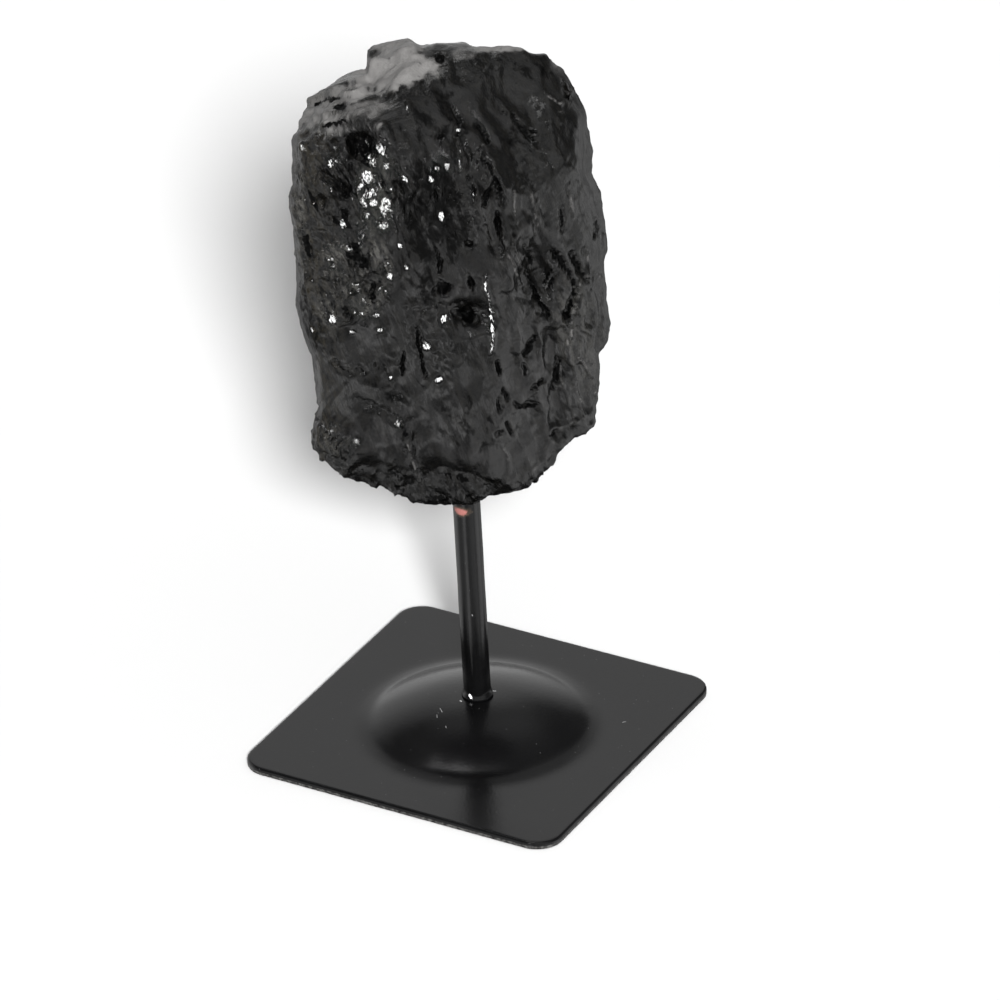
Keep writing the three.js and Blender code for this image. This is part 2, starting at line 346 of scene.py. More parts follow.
def cap_triangles(centre: int, first: int, sides: int, outward: bool) -> Array:
    """A fan of triangles that closes a ring.

    Args:
        centre: Index of the vertex in the middle.
        first: Index of the ring's first vertex.
        sides: Vertices in the ring.
        outward: Whether the fan turns the same way as the ring.

    Returns:
        Vertex indices, (sides, 3).
    """
    here = first + np.arange(sides)
    after = first + (np.arange(sides) + 1) % sides
    pair = (here, after) if outward else (after, here)
    return np.stack([np.full(sides, centre), *pair], -1)


def box_grid(counts: tuple[int, int, int]) -> tuple[Array, Array]:
    """The surface of a box as one welded grid of quads.

    Args:
        counts: Divisions across, through and up.

    Returns:
        Grid points from -1 to 1 on each axis, (n, 3), and the quads, anticlockwise from outside, (m, 4).
    """
    size = np.array(counts)
    corners = []
    for axis in range(3):
        first, second = (axis + 1) % 3, (axis + 2) % 3
        i, j = (g.ravel() for g in np.meshgrid(range(size[first]), range(size[second]), indexing="ij"))
        for side, order in ((0, (0, 3, 2, 1)), (size[axis], (0, 1, 2, 3))):
            quad = np.zeros((len(i), 4, 3), int)
            for corner, (di, dj) in enumerate(((0, 0), (1, 0), (1, 1), (0, 1))):
                quad[:, corner, axis] = side
                quad[:, corner, first] = i + di
                quad[:, corner, second] = j + dj
            corners.append(quad[:, order])
    places = np.concatenate(corners).reshape(-1, 3)
    key = (places[:, 0] * (size[1] + 1) + places[:, 1]) * (size[2] + 1) + places[:, 2]
    _, first_use, index = np.unique(key, return_index=True, return_inverse=True)
    return 2.0 * places[first_use] / size - 1.0, index.reshape(-1, 4)


# --- Shader nodes ---


class Shader:
    """Adds nodes to a node tree and wires them; values may be numbers or sockets."""

    def __init__(self, tree: bpy.types.NodeTree) -> None:
        """Takes the node tree to build in."""
        self.tree = tree

    def feed(self, socket: bpy.types.NodeSocket, value: Optional[Value]) -> None:
        """Links or sets an input.

        Args:
            socket: Input to fill.
            value: Socket to link, or number or numbers to set; None leaves it alone.
        """
        if value is None:
            return
        if isinstance(value, bpy.types.NodeSocket):
            self.tree.links.new(value, socket)
        elif socket.type == "RGBA":
            socket.default_value = (*value, 1.0) if len(value) == 3 else value
        else:
            socket.default_value = value

    def add(self, kind: str, inputs: Optional[dict] = None, **settings: object) -> bpy.types.Node:
        """Adds a node.

        Args:
            kind: Type of the node.
            inputs: Values for its inputs, by name or index.
            settings: Its other settings.

        Returns:
            The node.
        """
        node = self.tree.nodes.new(kind)
        for name, value in settings.items():
            setattr(node, name, value)
        for name, value in (inputs or {}).items():
            self.feed(node.inputs[name], value)
        return node

    def math(self, operation: str, a: Value, b: Optional[Value] = None, c: Optional[Value] = None) -> Value:
        """Output of a Math node."""
        return self.add("ShaderNodeMath", {0: a, 1: b, 2: c}, operation=operation).outputs[0]

    def vector(self, operation: str, a: Value, b: Optional[Value] = None) -> bpy.types.Node:
        """A Vector Math node."""
        return self.add("ShaderNodeVectorMath", {0: a, 1: b}, operation=operation)

    def dot(self, a: Value, b: Value) -> Value:
        """Dot product of two vectors."""
        return self.vector("DOT_PRODUCT", a, b).outputs["Value"]

    def scaled(self, a: Value, by: Value) -> Value:
        """A vector multiplied by a value."""
        return self.add("ShaderNodeVectorMath", {0: a, 3: by}, operation="SCALE").outputs[0]

    def combine(self, x: Value, y: Value, z: Value) -> Value:
        """A vector from its parts."""
        return self.add("ShaderNodeCombineXYZ", {0: x, 1: y, 2: z}).outputs[0]

    def remap(self, value: Value, source: Pair, target: Pair = (0.0, 1.0), eased: bool = True) -> Value:
        """A value mapped from one range to another and held inside it.

        Args:
            value: Value to map.
            source: Its range.
            target: Range of the result.
            eased: Whether the climb is smooth.

        Returns:
            The mapped value.
        """
        kind = "SMOOTHSTEP" if eased else "LINEAR"
        names = {"Value": value, "From Min": source[0], "From Max": source[1]}
        names |= {"To Min": target[0], "To Max": target[1]}
        return self.add("ShaderNodeMapRange", names, interpolation_type=kind).outputs["Result"]

    def noise(
        self, at: Value, scale: float, detail: float = 3.0, rough: float = 0.5, warp: float = 0.0
    ) -> Value:
        """Factor of a Noise Texture."""
        names = {"Vector": at, "Scale": scale, "Detail": detail, "Roughness": rough, "Distortion": warp}
        return self.add("ShaderNodeTexNoise", names).outputs["Fac"]

    def cells(self, at: Value, scale: float, feature: str = "F1", output: str = "Distance") -> Value:
        """An output of a Voronoi Texture."""
        names = {"Vector": at, "Scale": scale}
        return self.add("ShaderNodeTexVoronoi", names, feature=feature).outputs[output]

    def mix(self, share: Value, a: Value, b: Value) -> Value:
        """Colour that goes from a to b."""
        return self.add("ShaderNodeMix", {"Factor": share, 6: a, 7: b}, data_type="RGBA").outputs[2]

    def between(self, share: Value, a: Value, b: Value) -> Value:
        """Number that goes from a to b."""
        return self.add("ShaderNodeMix", {0: share, 2: a, 3: b}).outputs[0]

    def stretched(self, at: Value, factors: Triple) -> Value:
        """A place with each of its axes scaled by its own factor."""
        return self.vector("MULTIPLY", at, factors).outputs[0]

    def attribute(self, name: str) -> Value:
        """Value of a number kept on the mesh."""
        return self.add("ShaderNodeAttribute", attribute_name=name).outputs["Fac"]

    def object_mm(self) -> Value:
        """Position in the part's frame, mm."""
        return self.scaled(self.add("ShaderNodeTexCoord").outputs["Object"], 1.0 / MM)

    def bump(
        self, height: Value, depth_mm: float, strength: float = 1.0, under: Optional[Value] = None
    ) -> Value:
        """Normal bent by a height from 0 to 1 that stands for depth_mm."""
        names = {"Height": height, "Distance": depth_mm * MM, "Strength": strength, "Normal": under}
        return self.add("ShaderNodeBump", names).outputs["Normal"]


def new_material(name: str) -> tuple[bpy.types.Material, Shader, bpy.types.Node]:
    """A node material that holds only a Principled surface.

    Args:
        name: Name of the material.

    Returns:
        The material, its shader helper and the Principled node.
    """
    material = bpy.data.materials.new(name)
    material.use_nodes = True
    material.node_tree.nodes.clear()
    shader = Shader(material.node_tree)
    surface = shader.add("ShaderNodeBsdfPrincipled")
    shader.add("ShaderNodeOutputMaterial", {"Surface": surface.outputs["BSDF"]})
    return material, shader, surface


@dataclass(frozen=True)
class Stroke:
    """A thin mark in the paint, or a painted highlight, from one point to another.

    Attributes:
        start: First end, mm.
        end: Other end, mm.
        width: Half width, mm.
        strength: How much of the paint it takes off, from 0 to 1.
        colour: What shows in it.
    """

    start: Triple
    end: Triple
    width: float
    strength: float = 1.0
    colour: Triple = (0.16, 0.16, 0.16)

    def mask(self, shader: Shader, at: Value) -> Value:
        """Share of the stroke at a place.

        Args:
            shader: Tree to build in.
            at: Position, mm.

        Returns:
            A value from 0 to strength.
        """
        start, run = np.array(self.start), np.array(self.end) - np.array(self.start)
        offset = shader.vector("SUBTRACT", at, tuple(start)).outputs[0]
        along = shader.math("DIVIDE", shader.dot(offset, tuple(run)), float(run @ run))
        held = shader.remap(along, (0.0, 1.0), eased=False)
        spine = shader.scaled(tuple(run), held)
        gap = shader.vector("DISTANCE", offset, spine).outputs["Value"]
        ragged = shader.math("MULTIPLY_ADD", shader.noise(at, 4.0, 2.0), self.width, gap)
        return shader.remap(ragged, (self.width * 0.9, self.width * 1.5), (self.strength, 0.0))


@dataclass(frozen=True)
class BlackPaint:
    """Black paint on steel: faint orange peel, wiped haze, thin marks.

    Attributes:
        name: Name of the material.
        colour: Colour of the paint.
        roughness: Lowest and highest roughness.
        peel_mm: Height of the orange peel.
        strokes: Thin marks in the paint, and painted highlights.
        speck_colour: Colour of the dust.
        edge_colour: Colour of chafed edges.
        worn_at: Centre of a spot worn to the primer, mm, or None.
        worn_size: Its half sizes across, through and up, mm.
        primer: Colour of the primer.
        primer_edge: Colour of the rim round the worn spot.
    """

    name: str
    colour: Triple = (0.0014, 0.0014, 0.0015)
    roughness: Pair = (0.17, 0.23)
    peel_mm: float = 0.006
    strokes: tuple[Stroke, ...] = ()
    speck_colour: Triple = (0.12, 0.12, 0.12)
    edge_colour: Triple = (0.05, 0.049, 0.047)
    worn_at: Optional[Triple] = None
    worn_size: Triple = (2.0, 2.0, 1.2)
    primer: Triple = (0.2, 0.075, 0.065)
    primer_edge: Triple = (0.03, 0.022, 0.015)

    def material(self) -> bpy.types.Material:
        """Builds the material.

        Returns:
            The material.
        """
        material, shader, surface = new_material(self.name)
        at = shader.object_mm()
        haze = shader.noise(at, 0.06, 4.0, 0.6)
        grain = shader.noise(at, 1.1, 3.0, 0.6)
        tone = shader.remap(haze, (0.35, 0.65), (0.75, 1.3))
        lit = tuple(part * 1.35 for part in self.colour)
        colour = shader.mix(shader.remap(tone, (0.75, 1.3)), self.colour, lit)
        low, high = self.roughness
        rough = shader.remap(shader.math("MULTIPLY_ADD", grain, 0.35, haze), (0.45, 0.85), (low, high))
        speck = shader.remap(shader.cells(at, 0.35), (0.03, 0.06), (0.35, 0.0))
        colour = shader.mix(speck, colour, self.speck_colour)
        for stroke in self.strokes:
            mask = stroke.mask(shader, at)
            colour = shader.mix(mask, colour, stroke.colour)
            rough = shader.math("MULTIPLY_ADD", mask, 0.25, rough)
        chafed = shader.math("ADD", shader.attribute("edge"), shader.noise(at, 0.8, 3.0, 0.6))
        chafed = shader.remap(chafed, (1.3, 1.7))
        colour = shader.mix(chafed, colour, self.edge_colour)
        rough = shader.math("MULTIPLY_ADD", chafed, 0.1, rough)
        if self.worn_at is not None:
            offset = shader.vector("SUBTRACT", at, self.worn_at).outputs[0]
            scaled = shader.vector("DIVIDE", offset, self.worn_size).outputs[0]
            reach = shader.vector("LENGTH", scaled).outputs["Value"]
            patchy = shader.math("MULTIPLY_ADD", shader.noise(at, 1.3, 4.0, 0.7), 1.1, reach)
            rim = shader.remap(patchy, (1.15, 1.9), (1.0, 0.0))
            bare = shader.remap(patchy, (1.0, 1.45), (1.0, 0.0))
            colour = shader.mix(rim, colour, self.primer_edge)
            colour = shader.mix(bare, colour, self.primer)
            rough = shader.math("MULTIPLY_ADD", rim, 0.25, rough)
        shader.feed(surface.inputs["Base Color"], colour)
        shader.feed(surface.inputs["Roughness"], rough)
        surface.inputs["IOR"].default_value = 1.5
        peel = shader.bump(shader.noise(at, 1.4, 2.0, 0.5), self.peel_mm * 4.0)
        shader.feed(surface.inputs["Normal"], shader.bump(grain, self.peel_mm, 1.0, peel))
        return material


# --- Base ---


@dataclass
class SheetBase:
    """The square steel sheet with its pressed dome.

    Attributes:
        side: Length of a side, mm.
        sheet: Thickness, mm.
        corner_radius: Radius of the corners seen from above, mm.
        edge_round: Radius of the upper edge, where the paint is thick, mm.
        foot_round: Radius of the lower edge, mm.
        dome_reach: Radius where the dome meets the flat sheet, mm.
        dome_rise: Height of the dome over the sheet, mm.
        dome_fillet: Radius of the hollow curve at its foot, mm.
        side_steps: Points along a straight side.
        corner_steps: Points round a corner.
        rings_over: Rings of points over the crown, its foot, the flat sheet and the upper edge.
        rings_under: Rings down the side, round the lower edge, over the flat and each part of the dome.
        first_ring: Radius of the innermost ring, mm.
        bend_ease: How far the dome's bends are eased, mm.
        skirt: Radius where rings start to turn square, mm.
        unevenness: How far the pressed steel wanders, mm.
        edge_roughness: How ragged the cut edge is, mm.
        strokes: Thin marks in its paint, and two painted glints beside the weld bead.
    """

    side: float = 90.0
    sheet: float = 2.0
    corner_radius: float = 7.0
    edge_round: float = 0.7
    foot_round: float = 0.25
    dome_reach: float = 30.5
    dome_rise: float = 8.3
    dome_fillet: float = 5.0
    side_steps: int = 76
    corner_steps: int = 26
    rings_over: tuple[int, ...] = (34, 28, 24, 6)
    rings_under: tuple[int, ...] = (5, 3, 12, 19)
    first_ring: float = 0.6
    bend_ease: float = 1.3
    skirt: float = 37.0
    unevenness: float = 0.05
    edge_roughness: float = 0.12
    strokes: tuple[Stroke, ...] = (
        Stroke((-5.9, -9.1, 9.3), (-4.6, -10.3, 9.1), 0.16, 0.8),
        Stroke((-6.2, -10.4, 9.1), (-5.4, -10.9, 9.0), 0.13, 0.6),
        Stroke((-5.4, -11.6, 8.8), (-4.8, -12.6, 8.6), 0.14, 0.7),
        Stroke((-1.1, -14.7, 8.3), (-0.7, -15.2, 8.2), 0.16, 0.6),
        Stroke((33.2, 16.1, 2.0), (33.7, 16.7, 2.0), 0.2, 0.8),
        # Two painted glints on the dome beside the weld bead: pale strokes stand for the lamp's reflection.
        Stroke((-2.4, -4.7, 10.0), (-2.0, -4.9, 10.0), 0.3, 0.8, (0.3, 0.3, 0.3)),
        Stroke((2.8, 3.1, 10.1), (3.3, 3.4, 10.0), 0.3, 0.7, (0.3, 0.3, 0.3)),
    )

    def __post_init__(self) -> None:
        """Works out the dome's arcs."""
        apart = (self.dome_reach**2 + self.dome_rise**2) / (2.0 * self.dome_rise)
        self.crown_radius = apart - self.dome_fillet
        self.crown_centre = self.sheet + self.dome_rise - self.crown_radius
        self.tangent = math.asin(self.dome_reach / apart)

    def dome_height(self, radius: Array, below: float = 0.0) -> Array:
        """Height of the pressing, two arcs with eased bends, at a distance from its axis.

        Args:
            radius: Distances from the axis, mm.
            below: 0 for the upper face, the sheet's thickness for the lower one.

        Returns:
            Heights, mm.
        """
        steps = np.linspace(-2.0, 2.0, 13)
        weights = np.exp(-0.5 * steps**2)
        ease = self.bend_ease * (0.6 + 1.4 * smoothstep(radius, self.dome_reach - 6.0, self.dome_reach))
        spread = np.abs(radius + steps[:, None] * ease)
        crown, fillet = self.crown_radius - below, self.dome_fillet + below
        on_crown = self.crown_centre + np.sqrt(np.maximum(crown**2 - spread**2, 0.0))
        from_foot = np.clip(self.dome_reach - spread, 0.0, fillet)
        on_fillet = self.sheet + self.dome_fillet - np.sqrt(fillet**2 - from_foot**2)
        heights = np.where(spread < crown * math.sin(self.tangent), on_crown, on_fillet)
        return np.tensordot(weights / weights.sum(), heights, 1)

    def outline(self, inset: float) -> Array:
        """Points round the sheet's rounded square.

        Args:
            inset: How far inside the outline they lie, mm.

        Returns:
            Positions in plan, mm, (n, 2), anticlockwise.
        """
        half = self.side / 2.0 - inset
        radius = self.corner_radius - inset
        inner = half - radius
        points = []
        for turn in range(4):
            angle = turn * math.pi / 2.0
            spin = np.array([[math.cos(angle), -math.sin(angle)], [math.sin(angle), math.cos(angle)]])
            run = np.linspace(-inner, inner, self.side_steps, endpoint=False)
            side = np.stack([np.full_like(run, half), run], -1)
            bend = np.linspace(0.0, math.pi / 2.0, self.corner_steps, endpoint=False)
            corner = inner + radius * rays(bend)
            points.append(np.concatenate([side, corner]) @ spin.T)
        return np.concatenate(points)

    def rings(self) -> list[Array]:
        """Rings of points from the top's middle over the edge to the underside's middle.

        Returns:
            Arrays of positions, mm, each (sides, 3).
        """
        rim = self.outline(0.0)
        ray = rays(np.arctan2(rim[:, 1], rim[:, 0]))
        rings = []

        def circle(radius: float, below: float) -> Array:
            """A ring round the axis on the pressing's upper or lower face."""
            height = self.dome_height(np.full(len(ray), radius), below)
            return np.column_stack([ray * radius, height])

        def between(share: float, inset: float, height: float) -> Array:
            """A ring at a height, part of the way from the skirt's circle to the sheet's outline."""
            flat = ray * self.skirt * (1.0 - share) + self.outline(inset) * share
            return at_height(flat, height)

        top_crown = self.crown_radius * math.sin(self.tangent)
        low_crown = (self.crown_radius - self.sheet) * math.sin(self.tangent)
        crown, fillet, flat, edge = self.rings_over
        rings += [circle(r, 0.0) for r in np.linspace(self.first_ring, top_crown, crown, endpoint=False)]
        rings += [circle(r, 0.0) for r in np.linspace(top_crown, self.skirt, fillet)]
        rings += [between(s, self.edge_round, self.sheet) for s in np.linspace(0.04, 1.0, flat)]
        for bend in np.linspace(0.0, math.pi / 2.0, edge + 1)[1:]:
            inset = self.edge_round * (1.0 - math.sin(bend))
            rings.append(between(1.0, inset, self.sheet - self.edge_round * (1.0 - math.cos(bend))))
        wall, foot, flat, dome = self.rings_under
        for height in np.linspace(self.sheet - self.edge_round, self.foot_round, wall + 1)[1:]:
            rings.append(between(1.0, 0.0, height))
        for bend in np.linspace(0.0, math.pi / 2.0, foot + 1)[1:]:
            inset = self.foot_round * (1.0 - math.cos(bend))
            rings.append(between(1.0, inset, self.foot_round * (1.0 - math.sin(bend))))
        rings += [between(s, self.foot_round, 0.0) for s in np.linspace(0.92, 0.0, flat)]
        for start, end in ((self.skirt, low_crown), (low_crown, self.first_ring)):
            rings += [circle(r, self.sheet) for r in np.linspace(start, end, dome + 1)[1:]]
        return rings

    def build(self) -> bpy.types.Object:
        """Builds and dresses the base.

        Returns:
            The base.
        """
        rings = self.rings()
        sides = len(rings[0])
        middles = [[0.0, 0.0, self.sheet + self.dome_rise], [0.0, 0.0, self.dome_rise]]
        points = np.concatenate([*rings, middles])
        top, bottom = len(points) - 2, len(points) - 1
        faces = [
            ring_quads(len(rings), sides)[:, ::-1],
            cap_triangles(top, 0, sides, True),
            cap_triangles(bottom, (len(rings) - 1) * sides, sides, False),
        ]
        plan = np.linalg.norm(points[:, :2], axis=1)
        pressed = 1.0 - smoothstep(plan, self.dome_reach - 2.0, self.dome_reach + 7.0)
        above = points[:, 2] > self.sheet - 0.1
        wander = fractal(points * 0.09, 41, 3) - 0.5
        points[:, 2] += self.unevenness * wander * pressed * above
        edge = points[:, 2] < self.sheet - 0.2
        edge &= np.max(np.abs(points[:, :2]), axis=1) > self.side / 2.0 - self.corner_radius * 0.3
        ragged = np.abs(fractal(points * (0.9, 0.9, 2.2), 43, 3))
        points[edge, :2] *= (1.0 - self.edge_roughness * ragged[edge] / plan[edge])[:, None]
        points[:, 2] = np.minimum(points[:, 2], self.sheet + self.dome_rise)
        made = make_mesh("pressed_base", points, faces)
        rim = edge & (points[:, 2] < 0.45 * self.sheet)
        layer = made.data.attributes.new("edge", "FLOAT", "POINT")
        layer.data.foreach_set("value", rim.astype(np.float32))
        made.data.materials.append(BlackPaint("base_paint_finish", strokes=self.strokes).material())
        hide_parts(CadNode.BASE.value)
        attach(made, "root")
        return made


# --- Stem ---


@dataclass
class WeldedRod:
    """The round rod, its weld bead and the spot where its paint is worn.

    Attributes:
        radius: Radius of the rod, mm.
        foot: Height of its foot, mm.
        length: Length along its own axis, mm.
        chamfer: Chamfer of its top end, mm.
        lean_deg: How far it leans out of upright.
        lean_bearing_deg: Bearing of the stone's broad side; the rod leans to that side's left.
        bead_radius: Radius of the weld bead at its foot, mm.
        bead_height: Height of the bead, mm.
        sides: Points in a ring.
        rings_per_mm: How close the rings lie.
        bead_rings: How many more there are up to the height of bead_zone, mm.
        seat: Gap under its foot, mm.
        base: The base that it stands on.
    """

    base: SheetBase
    radius: float = 3.5
    foot: float = 10.6
    length: float = 80.1
    chamfer: float = 0.5
    lean_deg: float = 1.4
    lean_bearing_deg: float = 29.7
    bead_radius: float = 4.4
    bead_height: float = 1.8
    sides: int = 72
    rings_per_mm: float = 1.6
    bead_rings: int = 15
    bead_zone: float = 3.2
    seat: float = 0.03

    def frame(self) -> Array:
        """Axes of the rod in the part's frame.

        Returns:
            Unit vectors as columns; the third runs up the rod.
        """
        turn, lean = math.radians(self.lean_bearing_deg), math.radians(self.lean_deg)
        right = np.array([math.cos(turn), math.sin(turn), 0.0])
        upright = np.array([0.0, 0.0, 1.0])
        axis = upright * math.cos(lean) - right * math.sin(lean)
        across = right * math.cos(lean) + upright * math.sin(lean)
        return np.stack([across, np.cross(axis, across), axis], axis=1)

    def build(self) -> bpy.types.Object:
        """Builds and dresses the rod with its bead.

        Returns:
            The rod.
        """
        above = np.linspace(0.0, self.length - self.chamfer, int(self.length * self.rings_per_mm))
        extra = np.linspace(0.0, self.bead_zone, self.bead_rings)
        heights = np.unique(np.concatenate([above, extra]).round(4))
        ray = rays(np.linspace(0.0, 2.0 * math.pi, self.sides, endpoint=False))
        tall = self.bead_height * (0.75 + 0.55 * value_noise(at_height(ray * 0.9, 0.0), 57))
        beads = smoothstep(value_noise(at_height(ray * 1.5, 0.0), 59), -0.5, 0.45)
        rings = []
        for height in heights:
            lump = 0.5 + 0.5 * fractal(at_height(ray * 1.7, height * 0.45) + 7.0, 51, 3)
            rise = np.clip(height / np.maximum(tall, 0.5), 0.0, 1.0)
            flare = (1.0 - rise) ** 1.5 * (self.bead_radius - self.radius) * (0.2 + 0.5 * lump + 0.4 * beads)
            sag = 0.05 * value_noise(at_height(ray * 0.8, height * 0.12), 53)
            reach = np.minimum(self.radius + flare + sag * min(1.0, height / 3.0), self.bead_radius)
            rings.append(at_height(ray * reach[:, None], height))
        rings.append(at_height(ray * (self.radius - self.chamfer), self.length))
        local = np.concatenate([*rings, [[0.0, 0.0, self.length], [0.0, 0.0, 0.0]]])
        points = local @ self.frame().T + (0.0, 0.0, self.foot)
        foot = np.concatenate([np.arange(self.sides), [len(points) - 1]])
        plan = np.linalg.norm(points[foot, :2], axis=1)
        points[foot, 2] = self.base.dome_height(plan) + self.seat
        faces = [
            ring_quads(len(rings), self.sides),
            cap_triangles(len(points) - 2, (len(rings) - 1) * self.sides, self.sides, True),
            cap_triangles(len(points) - 1, 0, self.sides, False),
        ]
        made = make_mesh("welded_rod", points, faces)
        finish = BlackPaint(
            "stem_paint_finish",
            roughness=(0.15, 0.24),
            strokes=(
                Stroke((0.85, -3.3, 35.9), (1.15, -3.4, 35.4), 0.16, 0.8),
                # Painted highlight on the weld bead: a pale stroke stands for the lamp's glint.
                Stroke((-0.2, -3.6, 11.6), (0.25, -3.75, 11.1), 0.38, 1.0, (0.75, 0.75, 0.75)),
            ),
            worn_at=(-1.2, -3.9, 65.6),
            worn_size=(2.6, 2.6, 1.35),
        )
        made.data.materials.append(finish.material())
        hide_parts(CadNode.STEM.value)
        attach(made, "root")
        return made


# --- Stone ---


@dataclass(frozen=True)
class Face:
    """A bounding face of the stone: outward direction (across, deep, up) and distance from its centre, mm."""

    towards: Triple
    distance: float


@dataclass(frozen=True)
class Mark:
    """A hollow, crack or lump on the broad side, placed square to it.

    Attributes:
        at: Centre, right of and above the stone's centre, mm.
        size: Half sizes, mm.
        lean: Turn of its axes, degrees anticlockwise.
        depth: How far it cuts in, mm; a negative one stands proud.
        wall: Where its wall starts and ends, in shares of its size, if it has one of its own.
        dark: How much painted shade its floor gets, 0 to 1.
    """

    at: Pair
    size: Pair
    lean: float
    depth: float
    wall: Optional[Pair] = None
    dark: float = 1.0

    def inside(
        self, across: Array, above: Array, wall: Pair, ragged: Value = 0.0, power: float = 2.0
    ) -> Array:
        """Share of the mark at places of the broad side.

        Args:
            across: Places right of the centre, mm.
            above: Places above the centre, mm.
            wall: Where its wall starts and ends, in shares of its size.
            ragged: Offsets that make its rim uneven, in shares of its size.
            power: 2 for a round rim; less draws its ends out to points.

        Returns:
            Shares from 0 to 1.
        """
        lean = math.radians(self.lean)
        dx, dy = across - self.at[0], above - self.at[1]
        x = (dx * math.cos(lean) + dy * math.sin(lean)) / self.size[0]
        y = (dy * math.cos(lean) - dx * math.sin(lean)) / self.size[1]
        reach = (np.abs(x) ** power + np.abs(y) ** power) ** (1.0 / power)
        return 1.0 - smoothstep(reach + ragged, *(self.wall or wall))


@dataclass(frozen=True)
class Crease:
    """A crack or a crest on the broad side, drawn along a line square to it.

    Attributes:
        path: Points of the line, right of and above the stone's centre, with its half width there, mm.
        depth: How far it cuts in, mm; a negative one stands proud.
        dark: How much painted shade its floor gets, 0 to 1; on a crest, how much pale painted highlight it
            gets.
    """

    path: tuple[Triple, ...]
    depth: float
    dark: float = 1.0

    def inside(self, across: Array, above: Array, wall: Pair, ragged: Value = 0.0) -> Array:
        """Share of the crease at places of the broad side.

        Args:
            across: Places right of the centre, mm.
            above: Places above the centre, mm.
            wall: Where its wall starts and ends, in shares of its half width.
            ragged: Offsets that make its rim uneven, in shares of its half width.

        Returns:
            Shares from 0 to 1.
        """
        reach = np.full(across.shape, 1e6)
        for (x0, y0, wide0), (x1, y1, wide1) in zip(self.path, self.path[1:]):
            x, y = x1 - x0, y1 - y0
            along = np.clip(((across - x0) * x + (above - y0) * y) / (x * x + y * y), 0.0, 1.0)
            off = np.hypot(across - x0 - x * along, above - y0 - y * along)
            reach = np.minimum(reach, off / (wide0 + (wide1 - wide0) * along))
        return 1.0 - smoothstep(reach + ragged, *wall)


def marks(*rows: tuple) -> tuple[Mark, ...]:
    """Marks from rows of right, above, half width, half height, lean and depth, then wall and dark."""
    return tuple(Mark(row[:2], row[2:4], *row[4:]) for row in rows)


def creases(*rows: tuple) -> tuple[Crease, ...]:
    """Creases from rows of points (right, above, half width), depth and dark."""
    return tuple(Crease(row[:-2], *row[-2:]) for row in rows)


@dataclass(frozen=True)
class Swell:
    """A scale of the broken surface: waves per mm across and along the grain, height in mm, seed."""

    across: float
    along: float
    height: float
    seed: int

    def noise(self, grain: Array) -> Array:
        """Noise of this scale at points in the grain's axes."""
        return value_noise(grain * (self.across, self.across, self.along), self.seed, packed=True)


# fmt: off
# Bounding faces.
FACES = tuple(
    Face(row[:3], row[3])
    for row in (
        (-0.2, -0.97, 0.06, 21), (0.44, -0.9, -0.03, 24), (0.2, -0.76, 0.61, 38),
        (-0.12, -0.88, -0.46, 38), (-0.2, 0.05, 0.98, 57), (-0.76, 0.05, 0.65, 52.5),
        (0.74, 0.1, 0.66, 55), (-0.985, -0.1, -0.03, 36.8), (0.98, -0.1, 0.1, 37.8),
        (0.98, -0.1, -0.11, 40.5), (-0.6, -0.2, -0.77, 53), (0.6, -0.2, -0.77, 53),
        (0.02, -0.1, -0.99, 59), (-0.5, 0.86, 0.08, 25), (0.46, 0.88, -0.06, 26), (0.1, 0.74, 0.66, 45),
        (-0.05, 0.8, -0.6, 44),
    )
)

# Outline of the stone square to its broad side: right of and above its centre, clockwise from the knob.
OUTLINE = (
    (-19.7, 54.7), (-17.6, 56.2), (-8.1, 57.7), (-5.2, 55.9), (5, 55.8), (7.9, 54.6), (18.5, 54),
    (21.2, 52.6), (24.9, 52.4), (30.5, 47.8), (34.7, 38.7), (36.2, 29.5), (35.6, 23.3), (37.4, 18.8),
    (39, 4.7), (38.4, 2), (39.3, -12.9), (38.7, -16.9), (36.9, -20.3), (36.6, -30), (35.5, -36.9),
    (35.2, -38.6), (32.9, -40.5), (29.6, -41.6), (26.4, -43.8), (24.9, -47.5), (20.2, -52.4),
    (13.4, -54.7), (8.4, -55.5), (5.6, -56.7), (-1.8, -57.5), (-4.8, -57.6), (-9, -57),
    (-14, -55.2), (-16.8, -53.1), (-24.6, -50.4), (-27.6, -49.6), (-31.5, -45.5), (-33.9, -44),
    (-35.8, -39.5), (-35.4, -35.4), (-33.9, -34.8), (-34.5, -28.3), (-35, -19.2), (-36.8, -14.1),
    (-38.3, -6.2), (-38, -1.7), (-38.2, 7), (-39.3, 14.7), (-38.6, 21.1), (-38, 33.2),
    (-36.7, 36.7), (-33.8, 43), (-28.9, 46.1), (-25.8, 47.8), (-20.5, 50.6), (-19.2, 52.5),
)

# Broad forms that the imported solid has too.
FORMS = marks(
    (-23, 32.5, 8, 5, -15, 4), (-10, 54, 11, 6, 0, -3, (0.1, 1.4)), (-24, 1.5, 7.5, 7.5, 0, 3),
    (-25, -10, 9, 6, 20, 1), (5.5, -11, 6, 4.5, -20, 2.8), (3, -24, 8, 9, 0, 1.2),
    (-21, -38, 11, 9, -25, 1.4), (-32, -43, 5, 7, 25, -2.2), (22, 3, 2.6, 12, 12, 1.6),
    (24, -25, 2.6, 10, 8, 1.5), (10.5, 12, 2.6, 12, 8, 1.5), (3, -51.5, 9, 2.4, -12, 2.4),
)

